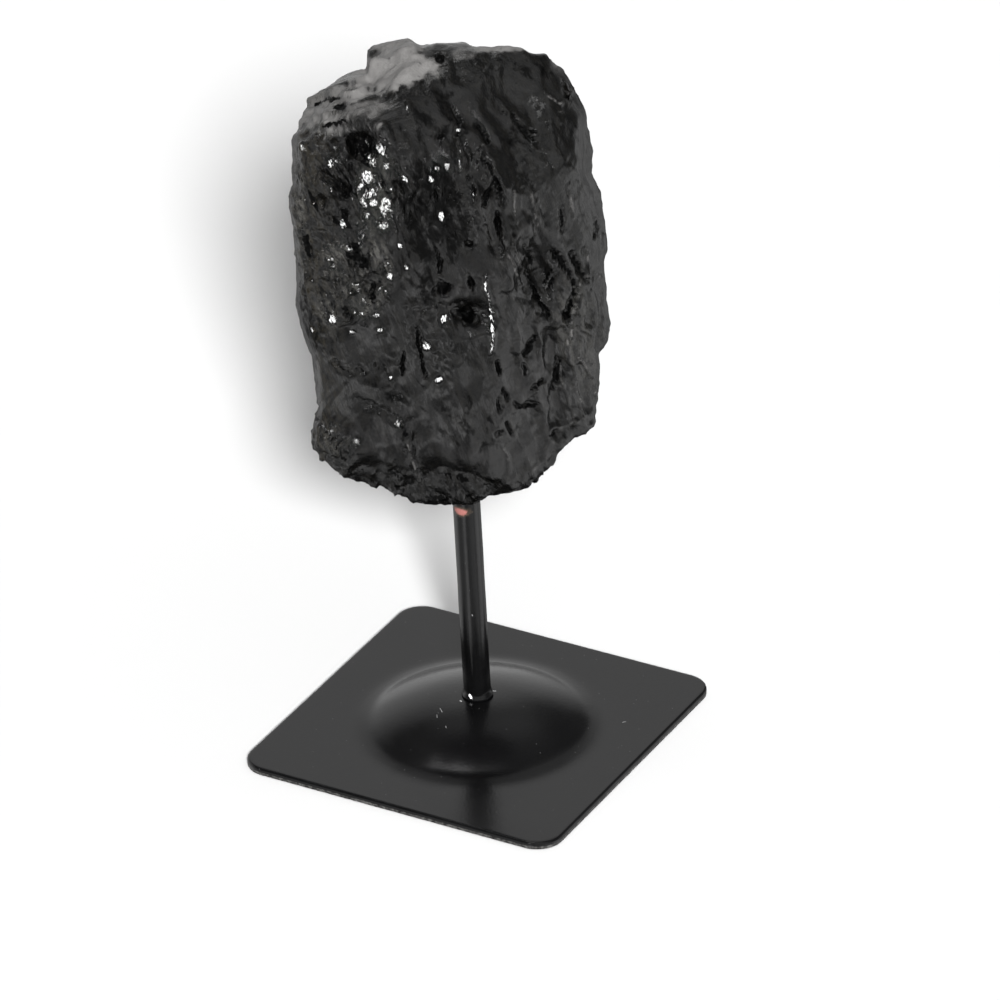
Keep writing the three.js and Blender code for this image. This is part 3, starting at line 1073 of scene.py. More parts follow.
# Smaller hollows, cracks and edges.
CUTS = marks(
    (-20.6, 30.3, 4.8, 3.9, -25, 3.4),  # black hollow under the ledge
    (-17.3, 55.2, 2.6, 1.1, 25, 0.4, (0.2, 1.2), 0.75), (-25.5, 40.1, 2.8, 1.5, 10, 1.3),
    (-22.6, 1.6, 2.8, 2, -10, 1.5, None, 0.5),  # ring-shaped hollow: floor
    (-18.8, -3.2, 3.6, 1.9, 35, 2, None, 0.68), (-25.1, -10, 1.9, 2, 10, 1.7, None, 0.62),
    (-34.8, 6.1, 1.5, 2, 15, 1.4),
    (3.9, -10.8, 4.5, 2.7, -25, 2.6),  # deep pit
    (-1.9, -4.4, 3, 2.2, 20, 1.6), (5.1, -3.4, 1.2, 2.7, 12, 1.5), (4.9, 5.8, 1.7, 1, 0, 1.2),
    (-1.6, 32, 1.5, 1.7, 10, 1.5),  # slits above the middle
    (6.2, 19.7, 0.9, 2, 12, 1.4), (12.2, 19.3, 1.5, 2, 12, 1.6), (-9.3, 13.6, 1, 1.7, 12, 1.3),
    (-2.7, 17.9, 2.2, 0.8, -8, 1.2), (-24.8, 19, 3, 1.7, -15, 1.6), (21, 33.2, 0.7, 2.2, 45, 1),
    (9.3, 33.5, 0.7, 2, 40, 0.9), (14.4, 37.8, 0.7, 2, 35, 0.9), (11.9, 10.3, 0.7, 3.2, 4, 1.2),
    (1.1, -50.4, 6.9, 1.2, -8, 1.6),  # undercut over the rod
    (-4, -55.4, 4, 1.7, 0, 1.2), (-13.8, -53.2, 3.5, 1.5, -20, 1),
    (-1.1, 51.7, 2.3, 1.7, 20, 1.4),  # black spot beside the pale patch
    (20, 24.5, 6, 9.5, 20, 1.1, (0, 1.4), 0), (28, 22, 4, 9, 5, -1, (0, 1.4)),
    (12, 24, 3.6, 8, 18, -0.9, (0, 1.4)), (15, 42, 7, 4, -25, 0.8, (0, 1.4), 0),
    (25.5, 38, 4, 6, 25, -0.9, (0, 1.4)),
)

# Slanting cracks.
CRACKS = creases(
    ((-30.2, 35.2, 0.5), (-27, 36.1, 0.95), (-23.4, 36.7, 0.5), 0.9, 0.75),
    ((12, 13.6, 0.42), (12.2, 10.6, 0.74), (12.6, 6.9, 0.42), 1.4, 1),
    ((11.2, 21.3, 0.42), (9.9, 18.1, 0.74), (8.8, 15.4, 0.42), 1.2, 1),
    ((12, 21.5, 0.62), (12.6, 18.5, 0.87), (13.3, 16.5, 0.42), 1.4, 1),
    ((19, 4.7, 0.42), (19.4, 2.7, 0.74), (20.1, 1.2, 0.42), 1.3, 1),
    ((18.8, -0.5, 0.42), (20, -3.8, 0.59), (21.4, -7.3, 0.94), (22.3, -9, 0.42), 1.7, 1),
    ((22.6, -8.5, 0.42), (23.5, -10.8, 0.89), (24, -12.8, 0.42), 1.5, 1),
    ((24.9, 4.3, 0.5), (27.1, 2.3, 1.04), (28.8, -0.3, 0.45), (30.6, -3.5, 0.42),
     (29.8, -7.7, 0.74), (28.7, -10.7, 1.24), (28.6, -13.4, 0.42), 1.9, 1),
    ((29.8, 3.7, 0.42), (31.5, 0.6, 0.69), (33.4, -2.9, 0.42), 1.7, 1),
    ((36, 11.7, 0.42), (36.4, 8.9, 0.74), (35.6, 7.2, 0.42), 1.2, 1),
    ((27.7, 14.4, 0.42), (27.8, 11.2, 0.55), (28.2, 8.7, 0.42), 1.3, 1),
    ((20.4, -16.4, 0.62), (19.3, -18.6, 0.99), (18, -20.6, 0.5), 1.5, 1),
    ((26.4, -22.3, 0.42), (25.6, -25.5, 0.89), (25, -29.2, 0.42), 1.7, 1),
    ((24.2, -4.4, 0.42), (25.2, -2.4, 0.45), (26.3, -0.7, 0.42), 1.1, 1),
    ((23, -3.3, 0.42), (24, -1.6, 0.42), (24.8, -0.2, 0.42), 0.9, 1),
    ((-8.6, -14.4, 0.42), (-8.4, -17.4, 0.55), (-7.7, -20.4, 0.42), 1.2, 1),
    ((-3.1, 5.3, 0.42), (-2.4, 2, 0.64), (-2.7, -0.7, 0.42), 1, 1),
    ((16.4, 37.2, 0.42), (18.3, 34.2, 0.45), (21.2, 31.2, 0.42), 1.1, 1),
    ((11.3, -22.6, 0.42), (11.3, -24.1, 0.69), (11.5, -25.6, 0.42), 1.2, 1),
    ((17.7, -23, 0.42), (17.7, -24.5, 0.55), (17.9, -25.8, 0.42), 1, 1),
    ((22.3, -27.1, 0.5), (20.8, -28.3, 0.79), (19.3, -29.3, 0.42), 1.1, 1),
    ((12.1, -29.3, 0.42), (12.8, -30.3, 0.59), (13.3, -31.6, 0.42), 1.1, 1),
    ((11.1, -31.8, 0.42), (11.3, -33, 0.5), (11.5, -34.3, 0.42), 1, 1),
    ((15, -32.4, 0.42), (16.2, -33.7, 0.64), (19.4, -33.2, 0.74), (20.9, -32.8, 0.42), 1.1, 1),
    ((12.6, -37.5, 0.42), (13.3, -38.8, 0.59), (14.3, -40, 0.42), 1, 1),
    ((10.1, -40.2, 0.42), (10.8, -39.7, 0.59), (11.8, -39.2, 0.42), 1, 1),
    ((23.7, -41, 0.42), (25.2, -40.3, 0.64), (26, -39.6, 0.42), 1.1, 1),
    ((-12.2, -20, 0.42), (-12.5, -22.5, 0.79), (-12.3, -25.2, 0.42), 1.2, 1),
    ((-8.2, -19.6, 0.42), (-7.5, -22.1, 0.5), (-6.9, -25.4, 0.42), 1.2, 1),
    ((-23.9, -30.4, 0.5), (-21.2, -32.2, 0.99), (-17.8, -33.7, 1.12), (-14.3, -35.3, 0.62), 1, 0.5),
    ((-14.3, -35.1, 0.42), (-12.9, -37.6, 0.87), (-12, -39.8, 0.42), 1.5, 1),
    ((-34.1, -34.8, 0.42), (-30.8, -39.6, 0.45), (-27.2, -45.4, 0.74), 1.2, 1),
    ((-16.6, -47.7, 0.42), (-15.2, -49.2, 0.79), (-13.3, -51, 0.42), 1.3, 1),
    ((-29.1, -21.5, 0.5), (-27.1, -23.1, 0.99), (-24.9, -24.4, 0.5), 0.9, 0.6),
    ((-24.4, -22.2, 0.42), (-22.7, -23.4, 0.74), (-21.5, -24.2, 0.42), 0.8, 0.6),
    ((-34.5, 9.3, 0.62), (-34.8, 7.1, 0.79), (-34.3, 4.9, 0.42), 1.3, 1),
    ((-31.6, 41.5, 0.42), (-28.6, 42.7, 0.55), (-24.9, 42.6, 0.42), 0.9, 1),
    ((1.8, 39.6, 0.42), (3.7, 36.1, 0.64), (2.8, 32.2, 0.42), 1, 1),
    ((7.4, 35, 0.42), (8.8, 32.5, 0.5), (10.2, 30.5, 0.42), 1, 1),
    ((8.2, 27.1, 0.42), (10.6, 25, 0.59), (11.3, 22.5, 0.42), 1.1, 1),
)

# A crack whose bright edge faces the lamp: right of and above the centre, and half width, mm.
STREAK_PATH = (
    (8.6, -1.7, 0.45), (8.8, -4.7, 0.59), (9.7, -7.7, 0.55), (10.1, -10.7, 0.69), (10.3, -15.1, 0.74),
    (10.2, -18.9, 0.59), (9.6, -20.6, 0.37),
)
STREAK = Crease(STREAK_PATH, 0.0)

# Raised crests beside the cracks; their edges also get a pale painted highlight.
CRESTS = creases(
    ((-29.5, 35.9, 1.2), (-24, 37, 1.9), (-16, 38.4, 1.9), (-9.5, 39.4, 1.2), -1.4, 0),
    (*STREAK_PATH, -0.5, 0.2),
    ((-31.7, 3.1, 0.4), (-30.5, -0.2, 0.5), (-28.9, -3.7, 0.4), -0.7, 0.4),
    ((-30.1, 4, 0.4), (-29, 0.5, 0.5), (-27.4, -3, 0.4), -0.7, 0.4),
    ((-28.6, 4.5, 0.4), (-27.5, 1, 0.5), (-25.8, -2.3, 0.4), -0.7, 0.4),
    ((-31.4, -6.6, 0.5), (-32.8, -2.8, 0.59), (-32.7, 1.4, 0.5),
     (-30.6, 4.8, 0.64), (-27.3, 7.4, 0.69), (-23.8, 8.1, 0.5), -0.9, 0.4),
    ((-23.8, 8.1, 0.5), (-20.6, 7, 0.59), (-18.7, 4, 0.5), (-17.6, 1, 0.59),
     (-16.2, -2.3, 0.64), (-17.8, -6.2, 0.59), (-21.1, -9.1, 0.74), (-24.6, -11.7, 0.55), -0.9, 0.4),
    ((-24.6, -11.7, 0.5), (-27.6, -12.4, 0.59), (-30, -10.1, 0.79), (-31.4, -6.6, 0.5), -0.9, 0.4),
    ((-26.4, -4.8, 0.5), (-24.4, -3.1, 0.64), (-21.9, -2.4, 0.59), (-19.6, -0.2, 0.4), -0.8, 0.4),
    ((-19.4, 8, 0.4), (-17.7, 4.9, 0.64), (-15.3, 0.9, 0.55), -0.7, 0.4),
    ((16.4, 18.9, 0.3), (16.3, 14.9, 0.45), (16.9, 11, 0.3), -0.5, 1),
    ((20.3, 19.3, 0.3), (21, 14.8, 0.47), (21.8, 10.3, 0.32), -0.6, 1),
    ((29.5, 20, 0.37), (30.2, 15.6, 0.64), (31, 11.6, 0.3), -0.7, 1),
    ((32.2, -2.8, 0.32), (31.6, -6.3, 0.47), (29.9, -11.2, 0.47), (29.6, -16.7, 0.3), -0.7, 1),
    ((33.8, 4.6, 0.4), (34.2, 0.6, 0.69), (33.6, -3.9, 0.32), -0.7, 1),
    ((37.4, 8.4, 0.32), (37.5, 4, 0.55), (37.1, -2, 0.32), -0.6, 1),
    ((13.3, 7.6, 0.3), (14.5, 3.1, 0.42), (17.5, -3.9, 0.3), -0.5, 1),
    ((15.5, 6, 0.3), (16.4, 3, 0.37), (17.4, 0.5, 0.25), -0.4, 1),
    ((31.2, -21.7, 0.32), (32.8, -23.9, 0.5), (34.3, -26.4, 0.3), -0.7, 1),
    ((34.5, -27.7, 0.32), (35.1, -30.2, 0.5), (35.8, -32.7, 0.3), -0.7, 1),
    ((29.8, -27.8, 0.32), (30.7, -30.1, 0.45), (31.9, -32.6, 0.3), -0.6, 1),
    ((26.6, -23.5, 0.3), (26.8, -26.7, 0.45), (27.2, -30.2, 0.3), -0.6, 1),
    ((29.3, -15.7, 0.32), (28.2, -19.3, 0.5), (28.4, -22.6, 0.3), -0.6, 1),
    ((24, -38.8, 0.37), (26.5, -38.9, 0.69), (29.5, -38, 0.37), -0.6, 0.6),
    ((29, -37.5, 0.37), (31.2, -37.3, 0.59), (34.3, -35.6, 0.32), -0.5, 0.6),
    ((32.5, 46.7, 0.3), (30.9, 43.3, 0.55), (28.3, 39.4, 0.4), (24.7, 42, 0.3), -0.6, 1),
    ((31.3, 41.3, 0.25), (29.5, 38.4, 0.4), (27.5, 37.4, 0.25), -0.4, 1),
    ((-29.6, 32.5, 0.37), (-26.4, 33.7, 0.69), (-22.6, 34.6, 0.74), (-17.7, 34.9, 0.37), -1.2, 1),
    ((-25.4, 43.8, 0.37), (-21.9, 43.5, 0.74), (-18.2, 42.9, 0.37), -0.6, 1),
    ((-17.9, 54.5, 0.25), (-13.4, 55.9, 0.32), (-8.4, 56.5, 0.25), -0.4, 1),
    ((-12.2, 53.6, 0.25), (-8.5, 54.8, 0.32), (-5, 54.2, 0.25), -0.4, 1),
    ((-34.1, -33.8, 0.25), (-30.5, -38.6, 0.35), (-26.7, -44.4, 0.3), -0.6, 1),
    ((-14.3, -35.8, 0.3), (-12.2, -40.8, 0.45), (-10.9, -44.8, 0.35), (-10, -48.3, 0.3), -0.8, 1),
    ((11.3, -42.4, 0.25), (13.2, -45.5, 0.4), (13.3, -49.9, 0.25), -0.4, 1),
    ((18, -52, 0.25), (19.5, -49.1, 0.45), (23.1, -45.7, 0.3), -0.5, 1),
)

# Where many small splinters catch the lamp.
SPARKLE_PATCHES = marks(
    (-18.3, 21, 4.6, 11, 0, 1), (-13.2, 26.9, 1.7, 7, 25, 0.8), (-9.3, 41.4, 1, 4.2, 15, 0.9),
    (-27.7, 5.2, 3.2, 2.2, 0, 0.7), (-14.4, 0.9, 2.2, 5.4, -20, 0.75), (-19, -6.9, 1.4, 4.8, -40, 0.85),
    (-30.5, -9.6, 2.2, 3.8, 30, 0.85), (-24.4, -3.6, 3.2, 1.2, 10, 0.85),
    (-29.3, -40.3, 0.9, 6.6, 35, 0.8), (-17, -23, 3, 2.4, 0, 0.35), (-30, 28, 5, 4, 0, 0.3),
    (3, 27, 1.3, 7, 10, 0.6), (-2, -55, 5, 2.4, 0, 0.5),
)

# How rough the broken surface is, as patches of the broad side; depth is the share of full roughness.
ROUGH_PATCHES = marks(
    (-21.6, 21.5, 17, 15, 0, 0.9), (-23.2, -1, 9.5, 12, 0, 0.9), (-31.9, 10.8, 6, 30, 0, 0.6),
    (-30.9, -45, 8, 10, 0, 0.8), (-6.4, -53.1, 20, 5, 0, 0.7), (-12.2, -39.3, 3, 12, 12, 0.5),
    (-5.4, -14, 7, 12, 0, 0.3), (23.1, -5.7, 6, 10, 0, 0.3), (3.4, 19.2, 11, 14, 0, 0.3),
    (-1.2, 49.6, 22, 5, 0, 0.4),
)

# Where blotches of painted shade darken the surface and dim its reflections.
SHADE_PATCHES = marks(
    (-3, 13, 10, 16, 0, 0.8), (4, -38, 15, 9, 0, 0.36), (-2, 37, 10, 11, 0, 0.46),
    (20, 49, 9, 4, -10, 0.5), (19, 30, 5, 8, 20, 0.4), (-25, 22, 9, 9, 0, 0.46),
    (14, 12, 3, 10, 15, 0.42), (-4, -3, 7, 7, 0, 0.44), (-16, -29, 6, 2.6, -30, 0.5),
    (0, -55, 14, 4, 0, 0.46),
)

# The same on the narrow side that faces away from the light.
EDGE_SHADES = marks((-36.3, -17.5, 3.4, 17.5, 2, 1))

# Where crumbled splinters look dusty, and where the same pale colour is a painted sheen for reflected light:
# the left edge and the fibres on the right.
DUST_AND_SHEEN_PATCHES = marks(
    (-23.5, -1.5, 8, 9.5, 0, 0.4), (-17.2, 4.7, 2.6, 5.6, 28, 1), (-27.7, 5.2, 4, 2.6, 20, 0.9),
    (-30.5, -9, 2.4, 4.2, 25, 0.9), (-19, -7.2, 1.8, 5, -40, 0.9), (-24.4, -3.6, 3.6, 1.4, 10, 0.9),
    (-37, 18, 2.5, 22, 0, 0.9), (-30.5, 38.5, 4.5, 4.5, 0, 0.7), (-18, 20, 5, 11, 0, 0.5),
    (-31, -43, 4, 7, 20, 0.5), (31, -16, 6, 15, 8, 0.4),
)

# Where conchoidal scoops show, in the same way.
SCALLOP_PATCHES = marks(
    (25, -8, 15, 26, 5, 1), (24, 30, 13, 16, 0, 0.25), (26.4, -32.9, 12, 14, 0, 0.9),
    (-2, 18, 12, 16, 0, 0.25),
)

# Where fine fibres show along the grain.
FIBRE_PATCHES = marks(
    (-27.5, 0.5, 5.5, 6.5, 15, 1.3), (31.5, -18, 7, 17, 8, 1), (32, 12, 4, 16, 5, 0.6),
    (-35, 18, 3.5, 20, 0, 1), (27, -42, 7, 8, 20, 0.6),
)

# Where thin ledges show.
TERRACE_PATCHES = marks((-24, 41.5, 15, 6.5, -15, 1))

# Where crumbled relief is held back.
CALM_PATCHES = marks((-24, 38.8, 14, 7.5, -8, 0.85), (-13, 51.5, 12, 7, 0, 0.7))

# Where a pale painted sheen stands for light from above on the top, and how strongly.
PAINTED_SHEEN_PATCHES = marks(
    (-12.8, 49, 11.9, 5.5, 8, 1), (-9.8, 55.1, 7.4, 3.4, 0, 0.75), (-29.9, 41.7, 9, 5, 40, 0.52),
    (-32.4, 38.6, 3.6, 3.6, 30, 0.62), (-20, 39, 9, 2.6, 8, 0.45), (-27, 35.6, 5, 2, 14, 0.6),
    (-23.4, 34, 5.6, 0.9, 14, 1), (-21.9, 43.5, 3.6, 1, 0, 0.9), (4.4, 52.4, 3.5, 1.8, 0, 0.35),
    (13.8, 53.9, 8, 1.4, 0, 0.6), (-19.7, 34.5, 4.6, 1, 12, 0.9), (-28, 37.2, 3, 0.9, 15, 0.8),
    (-20.5, 42.5, 4, 1, 20, 0.7),
)

# Small flat chips turned to the lamp: right of and above the centre, half width, half height, mm.
CHIPS = (
    (-15.8, 29.6, 0.8, 1.2), (-18, 26.8, 0.7, 1.6), (-14.7, 25.4, 0.7, 0.6), (-12.9, 27.1, 0.5, 0.7),
    (-19.3, 23.1, 0.9, 1.2), (-21, 21.1, 0.7, 0.6), (-18.6, 18.8, 1.1, 1), (-15.2, 16, 1.5, 2),
    (-17.9, 16.8, 1, 1), (-20.6, 17.2, 0.5, 1), (-19.7, 13.7, 0.7, 1), (-16.1, 11.1, 1, 0.7),
    (-13.3, 20.2, 0.5, 0.5), (-10.1, 22.3, 0.5, 0.7), (-9.1, 39.4, 0.5, 1.2), (-10.2, 44.9, 0.5, 0.7),
    (9.2, 46.4, 0.5, 0.5), (2.9, 33.9, 0.5, 0.5), (3.3, 29.2, 0.5, 1.2), (3.2, 25.9, 0.5, 1.2),
    (-2.3, 24.4, 0.5, 0.5), (0.2, 25, 0.5, 0.6), (-3.9, 21.9, 0.5, 0.5), (-1.6, 12.9, 0.5, 1),
    (-28.1, 26.5, 0.5, 1), (-35.1, 30.7, 0.5, 0.7), (-25.7, 11.8, 0.5, 0.5), (-22, 11.7, 0.5, 0.5),
    (-25.9, 6.6, 0.5, 0.5), (-23.9, 5.3, 0.5, 0.6), (-29.4, 3.5, 0.6, 0.5), (-12, 6.3, 0.5, 0.6),
    (-14.7, -1.1, 0.7, 0.6), (-10.4, 1, 0.5, 0.6), (-21.8, -9.8, 0.6, 0.6), (-18.1, -10.4, 0.6, 0.5),
    (-17.5, -13.9, 0.7, 0.6), (-24.2, -14.2, 0.6, 0.5), (-34.1, -13.2, 0.6, 0.7), (-29.5, -10.9, 0.7, 1),
    (-1.8, -11.6, 0.75, 0.95), (-6.2, -18.2, 0.9, 0.8), (-3.4, -26.4, 0.95, 0.75), (-15.3, -25.6, 0.5, 0.7),
    (-14.1, -37.1, 0.5, 0.5), (-10.3, -44.1, 0.5, 0.7), (-10.7, -47.6, 0.5, 0.6), (-27.2, -43.2, 0.5, 0.7),
    (-32.2, -37.1, 0.5, 0.7), (-23.4, -49, 0.6, 0.6), (0.6, -52.6, 0.5, 0.7), (1.2, -55.6, 0.5, 0.7),
    (29.4, 43.3, 0.5, 1.7),
)
# fmt: on


@dataclass(frozen=True)
class TourmalineFinish:
    """Glossy broken tourmaline: near-black, striated, warm in places, with a pale painted sheen on its top
    and painted shade in its hollows.

    Attributes:
        body: Colour of the crystal.
        warm: Colour of its brownish patches.
        dust_and_sheen: Colour of its crumbled, dusty patches, also used as a pale painted sheen for reflected
            light.
        pale: Colour of the painted sheen that stands for light from above on the top and along crests.
        gloss: Lowest and highest roughness of the broken faces.
        pale_roughness: Roughness of the top under the painted sheen.
        fresh_share: Share of the roughness that fresh chips keep.
        fresh_turn: How far they turn to the lamp.
        ior: Index of refraction.
    """

    body: Triple = (0.0014, 0.0014, 0.0014)
    warm: Triple = (0.0075, 0.0065, 0.0045)
    dust_and_sheen: Triple = (0.032, 0.0312, 0.0285)
    pale: Triple = (0.115, 0.112, 0.109)
    gloss: Pair = (0.09, 0.22)
    pale_roughness: float = 0.42
    fresh_share: float = 0.5
    fresh_turn: float = 0.92
    ior: float = 1.63

    def material(self, centre: Array, axes: Array, facing: Array) -> bpy.types.Material:
        """Builds the material.

        Args:
            centre: The stone's centre, mm.
            axes: Axes along which the grain is laid out, as columns.
            facing: Which way the freshly broken chips face.

        Returns:
            The material.
        """
        material, shader, surface = new_material("black_tourmaline_finish")
        offset = shader.vector("SUBTRACT", shader.object_mm(), tuple(centre)).outputs[0]
        grain = shader.combine(*(shader.dot(offset, tuple(axes[:, i])) for i in range(3)))
        long_grain = shader.stretched(grain, (1.0, 1.0, 0.28))
        coarse = shader.attribute("coarse")
        pale = shader.attribute("pale")

        blotch = shader.noise(grain, 0.07, 4.0, 0.6)
        fleck = shader.noise(long_grain, 0.9, 4.0, 0.65)
        warmth = shader.math("MULTIPLY", shader.attribute("warm"), shader.remap(fleck, (0.42, 0.62)))
        colour = shader.mix(warmth, self.body, self.warm)
        # Dust, and a pale painted sheen where the dust patches stand for reflected light.
        dust_and_sheen_share = shader.math("MULTIPLY", shader.attribute("dust_and_sheen"), shader.remap(fleck, (0.38, 0.68)))
        colour = shader.mix(dust_and_sheen_share, colour, self.dust_and_sheen)
        # Painted sheen: the up-facing top and the crests get a pale, duller colour that stands for light from
        # above.
        patchy = shader.math("MULTIPLY_ADD", shader.noise(grain, 0.35, 5.0, 0.65), 0.7, pale)
        painted_sheen_share = shader.remap(patchy, (0.45, 1.25))
        mottled = shader.mix(fleck, tuple(0.55 * part for part in self.pale), self.pale)
        colour = shader.mix(painted_sheen_share, colour, mottled)

        low, high = self.gloss
        dull = shader.math("MULTIPLY_ADD", fleck, 0.5, shader.math("MULTIPLY", blotch, 0.7))
        rough = shader.remap(dull, (0.4, 0.8), (low, high))
        rough = shader.math("MULTIPLY_ADD", painted_sheen_share, self.pale_roughness - low, rough)

        striae = shader.noise(shader.stretched(grain, (2.6, 2.6, 0.22)), 1.0, 3.0, 0.55, 0.3)
        chips = shader.cells(shader.stretched(grain, (1.0, 1.0, 0.45)), 1.5)
        crumbs = shader.noise(long_grain, 3.2, 4.0, 0.6, 0.4)
        normal = shader.bump(striae, 0.1)
        chipped = shader.math("MULTIPLY", chips, coarse)
        normal = shader.bump(chipped, 0.2, 1.0, normal)
        crumbled = shader.math("MULTIPLY", crumbs, shader.remap(coarse, (0.0, 1.0), (0.12, 0.75)))
        normal = shader.bump(crumbled, 0.07, 1.0, normal)

        broken = shader.noise(long_grain, 1.7, 3.0, 0.65)
        fresh = shader.math("MULTIPLY_ADD", broken, 1.5, shader.attribute("fresh"))
        fresh = shader.remap(fresh, (1.2, 1.38))
        splinters = shader.stretched(grain, (1.35, 1.35, 0.62))
        chance = shader.dot(shader.cells(splinters, 1.0, "F1", "Color"), (0.0, 1.0, 0.0))
        chance = shader.math("MULTIPLY_ADD", shader.attribute("sparkle"), 0.36, chance)
        chance = shader.math("MULTIPLY_ADD", coarse, 0.07, chance)
        specks = shader.math("MULTIPLY", shader.remap(chance, (1.0, 1.02)), shader.remap(broken, (0.4, 0.5)))
        fresh = shader.math("MAXIMUM", fresh, shader.math("MULTIPLY", specks, 0.95))
        uneven = shader.remap(shader.noise(long_grain, 3.0, 2.0, 0.6), (0.36, 0.56), (0.5, 1.0))
        turned = shader.math("MULTIPLY", shader.math("MULTIPLY", fresh, uneven), self.fresh_turn)
        streak = shader.math("MULTIPLY_ADD", broken, 1.4, shader.attribute("streak"))
        gleam = shader.remap(uneven, (0.5, 1.0), (0.84, 0.97))
        streak = shader.math("MULTIPLY", shader.remap(streak, (1.0, 1.35)), gleam)
        turned = shader.math("MAXIMUM", turned, streak)
        fresh = shader.math("MAXIMUM", fresh, streak)
        kept = shader.math("SUBTRACT", 1.0, turned)
        faced = shader.scaled(tuple(facing), turned)
        tilted = shader.vector("ADD", faced, shader.scaled(normal, kept)).outputs[0]
        normal = shader.vector("NORMALIZE", tilted).outputs[0]
        rough = shader.math("MULTIPLY", rough, shader.remap(fresh, (0.0, 1.0), (1.0, self.fresh_share)))

        # Painted shade: the floors of cuts and cracks, random splits and the shade blotches get a darker
        # colour and weaker reflections, standing for shade that falls in them; fresh chips are spared.
        splits = shader.cells(shader.stretched(grain, (0.42, 0.42, 0.16)), 1.0, "F1", "Color")
        splits = shader.dot(splits, (1.0, 0.0, 0.0))
        splits = shader.math("MULTIPLY", splits, shader.remap(coarse, (0.25, 0.8)))
        hollow = shader.math("MULTIPLY_ADD", broken, 0.7, shader.attribute("hollow"))
        hollow = shader.remap(hollow, (0.8, 1.0))
        hollow = shader.math("MAXIMUM", hollow, shader.remap(splits, (0.87, 0.91)))
        blots = shader.noise(shader.stretched(grain, (1.0, 1.0, 0.55)), 0.42, 5.0, 0.68, 0.4)
        blots = shader.math("MULTIPLY_ADD", shader.attribute("shade"), 0.34, blots)
        blots = shader.remap(blots, (0.6, 0.78), (0.0, 0.8))
        hollow = shader.math("MAXIMUM", hollow, blots)
        hollow = shader.math("MULTIPLY", hollow, shader.remap(fresh, (0.0, 0.5), (1.0, 0.0)))
        colour = shader.mix(hollow, colour, tuple(0.4 * part for part in self.body))

        shader.feed(surface.inputs["Base Color"], colour)
        shader.feed(surface.inputs["Roughness"], rough)
        shader.feed(surface.inputs["Specular IOR Level"], shader.remap(hollow, (0.0, 1.0), (0.5, 0.08)))
        shader.feed(surface.inputs["Normal"], normal)
        surface.inputs["IOR"].default_value = self.ior
        return material


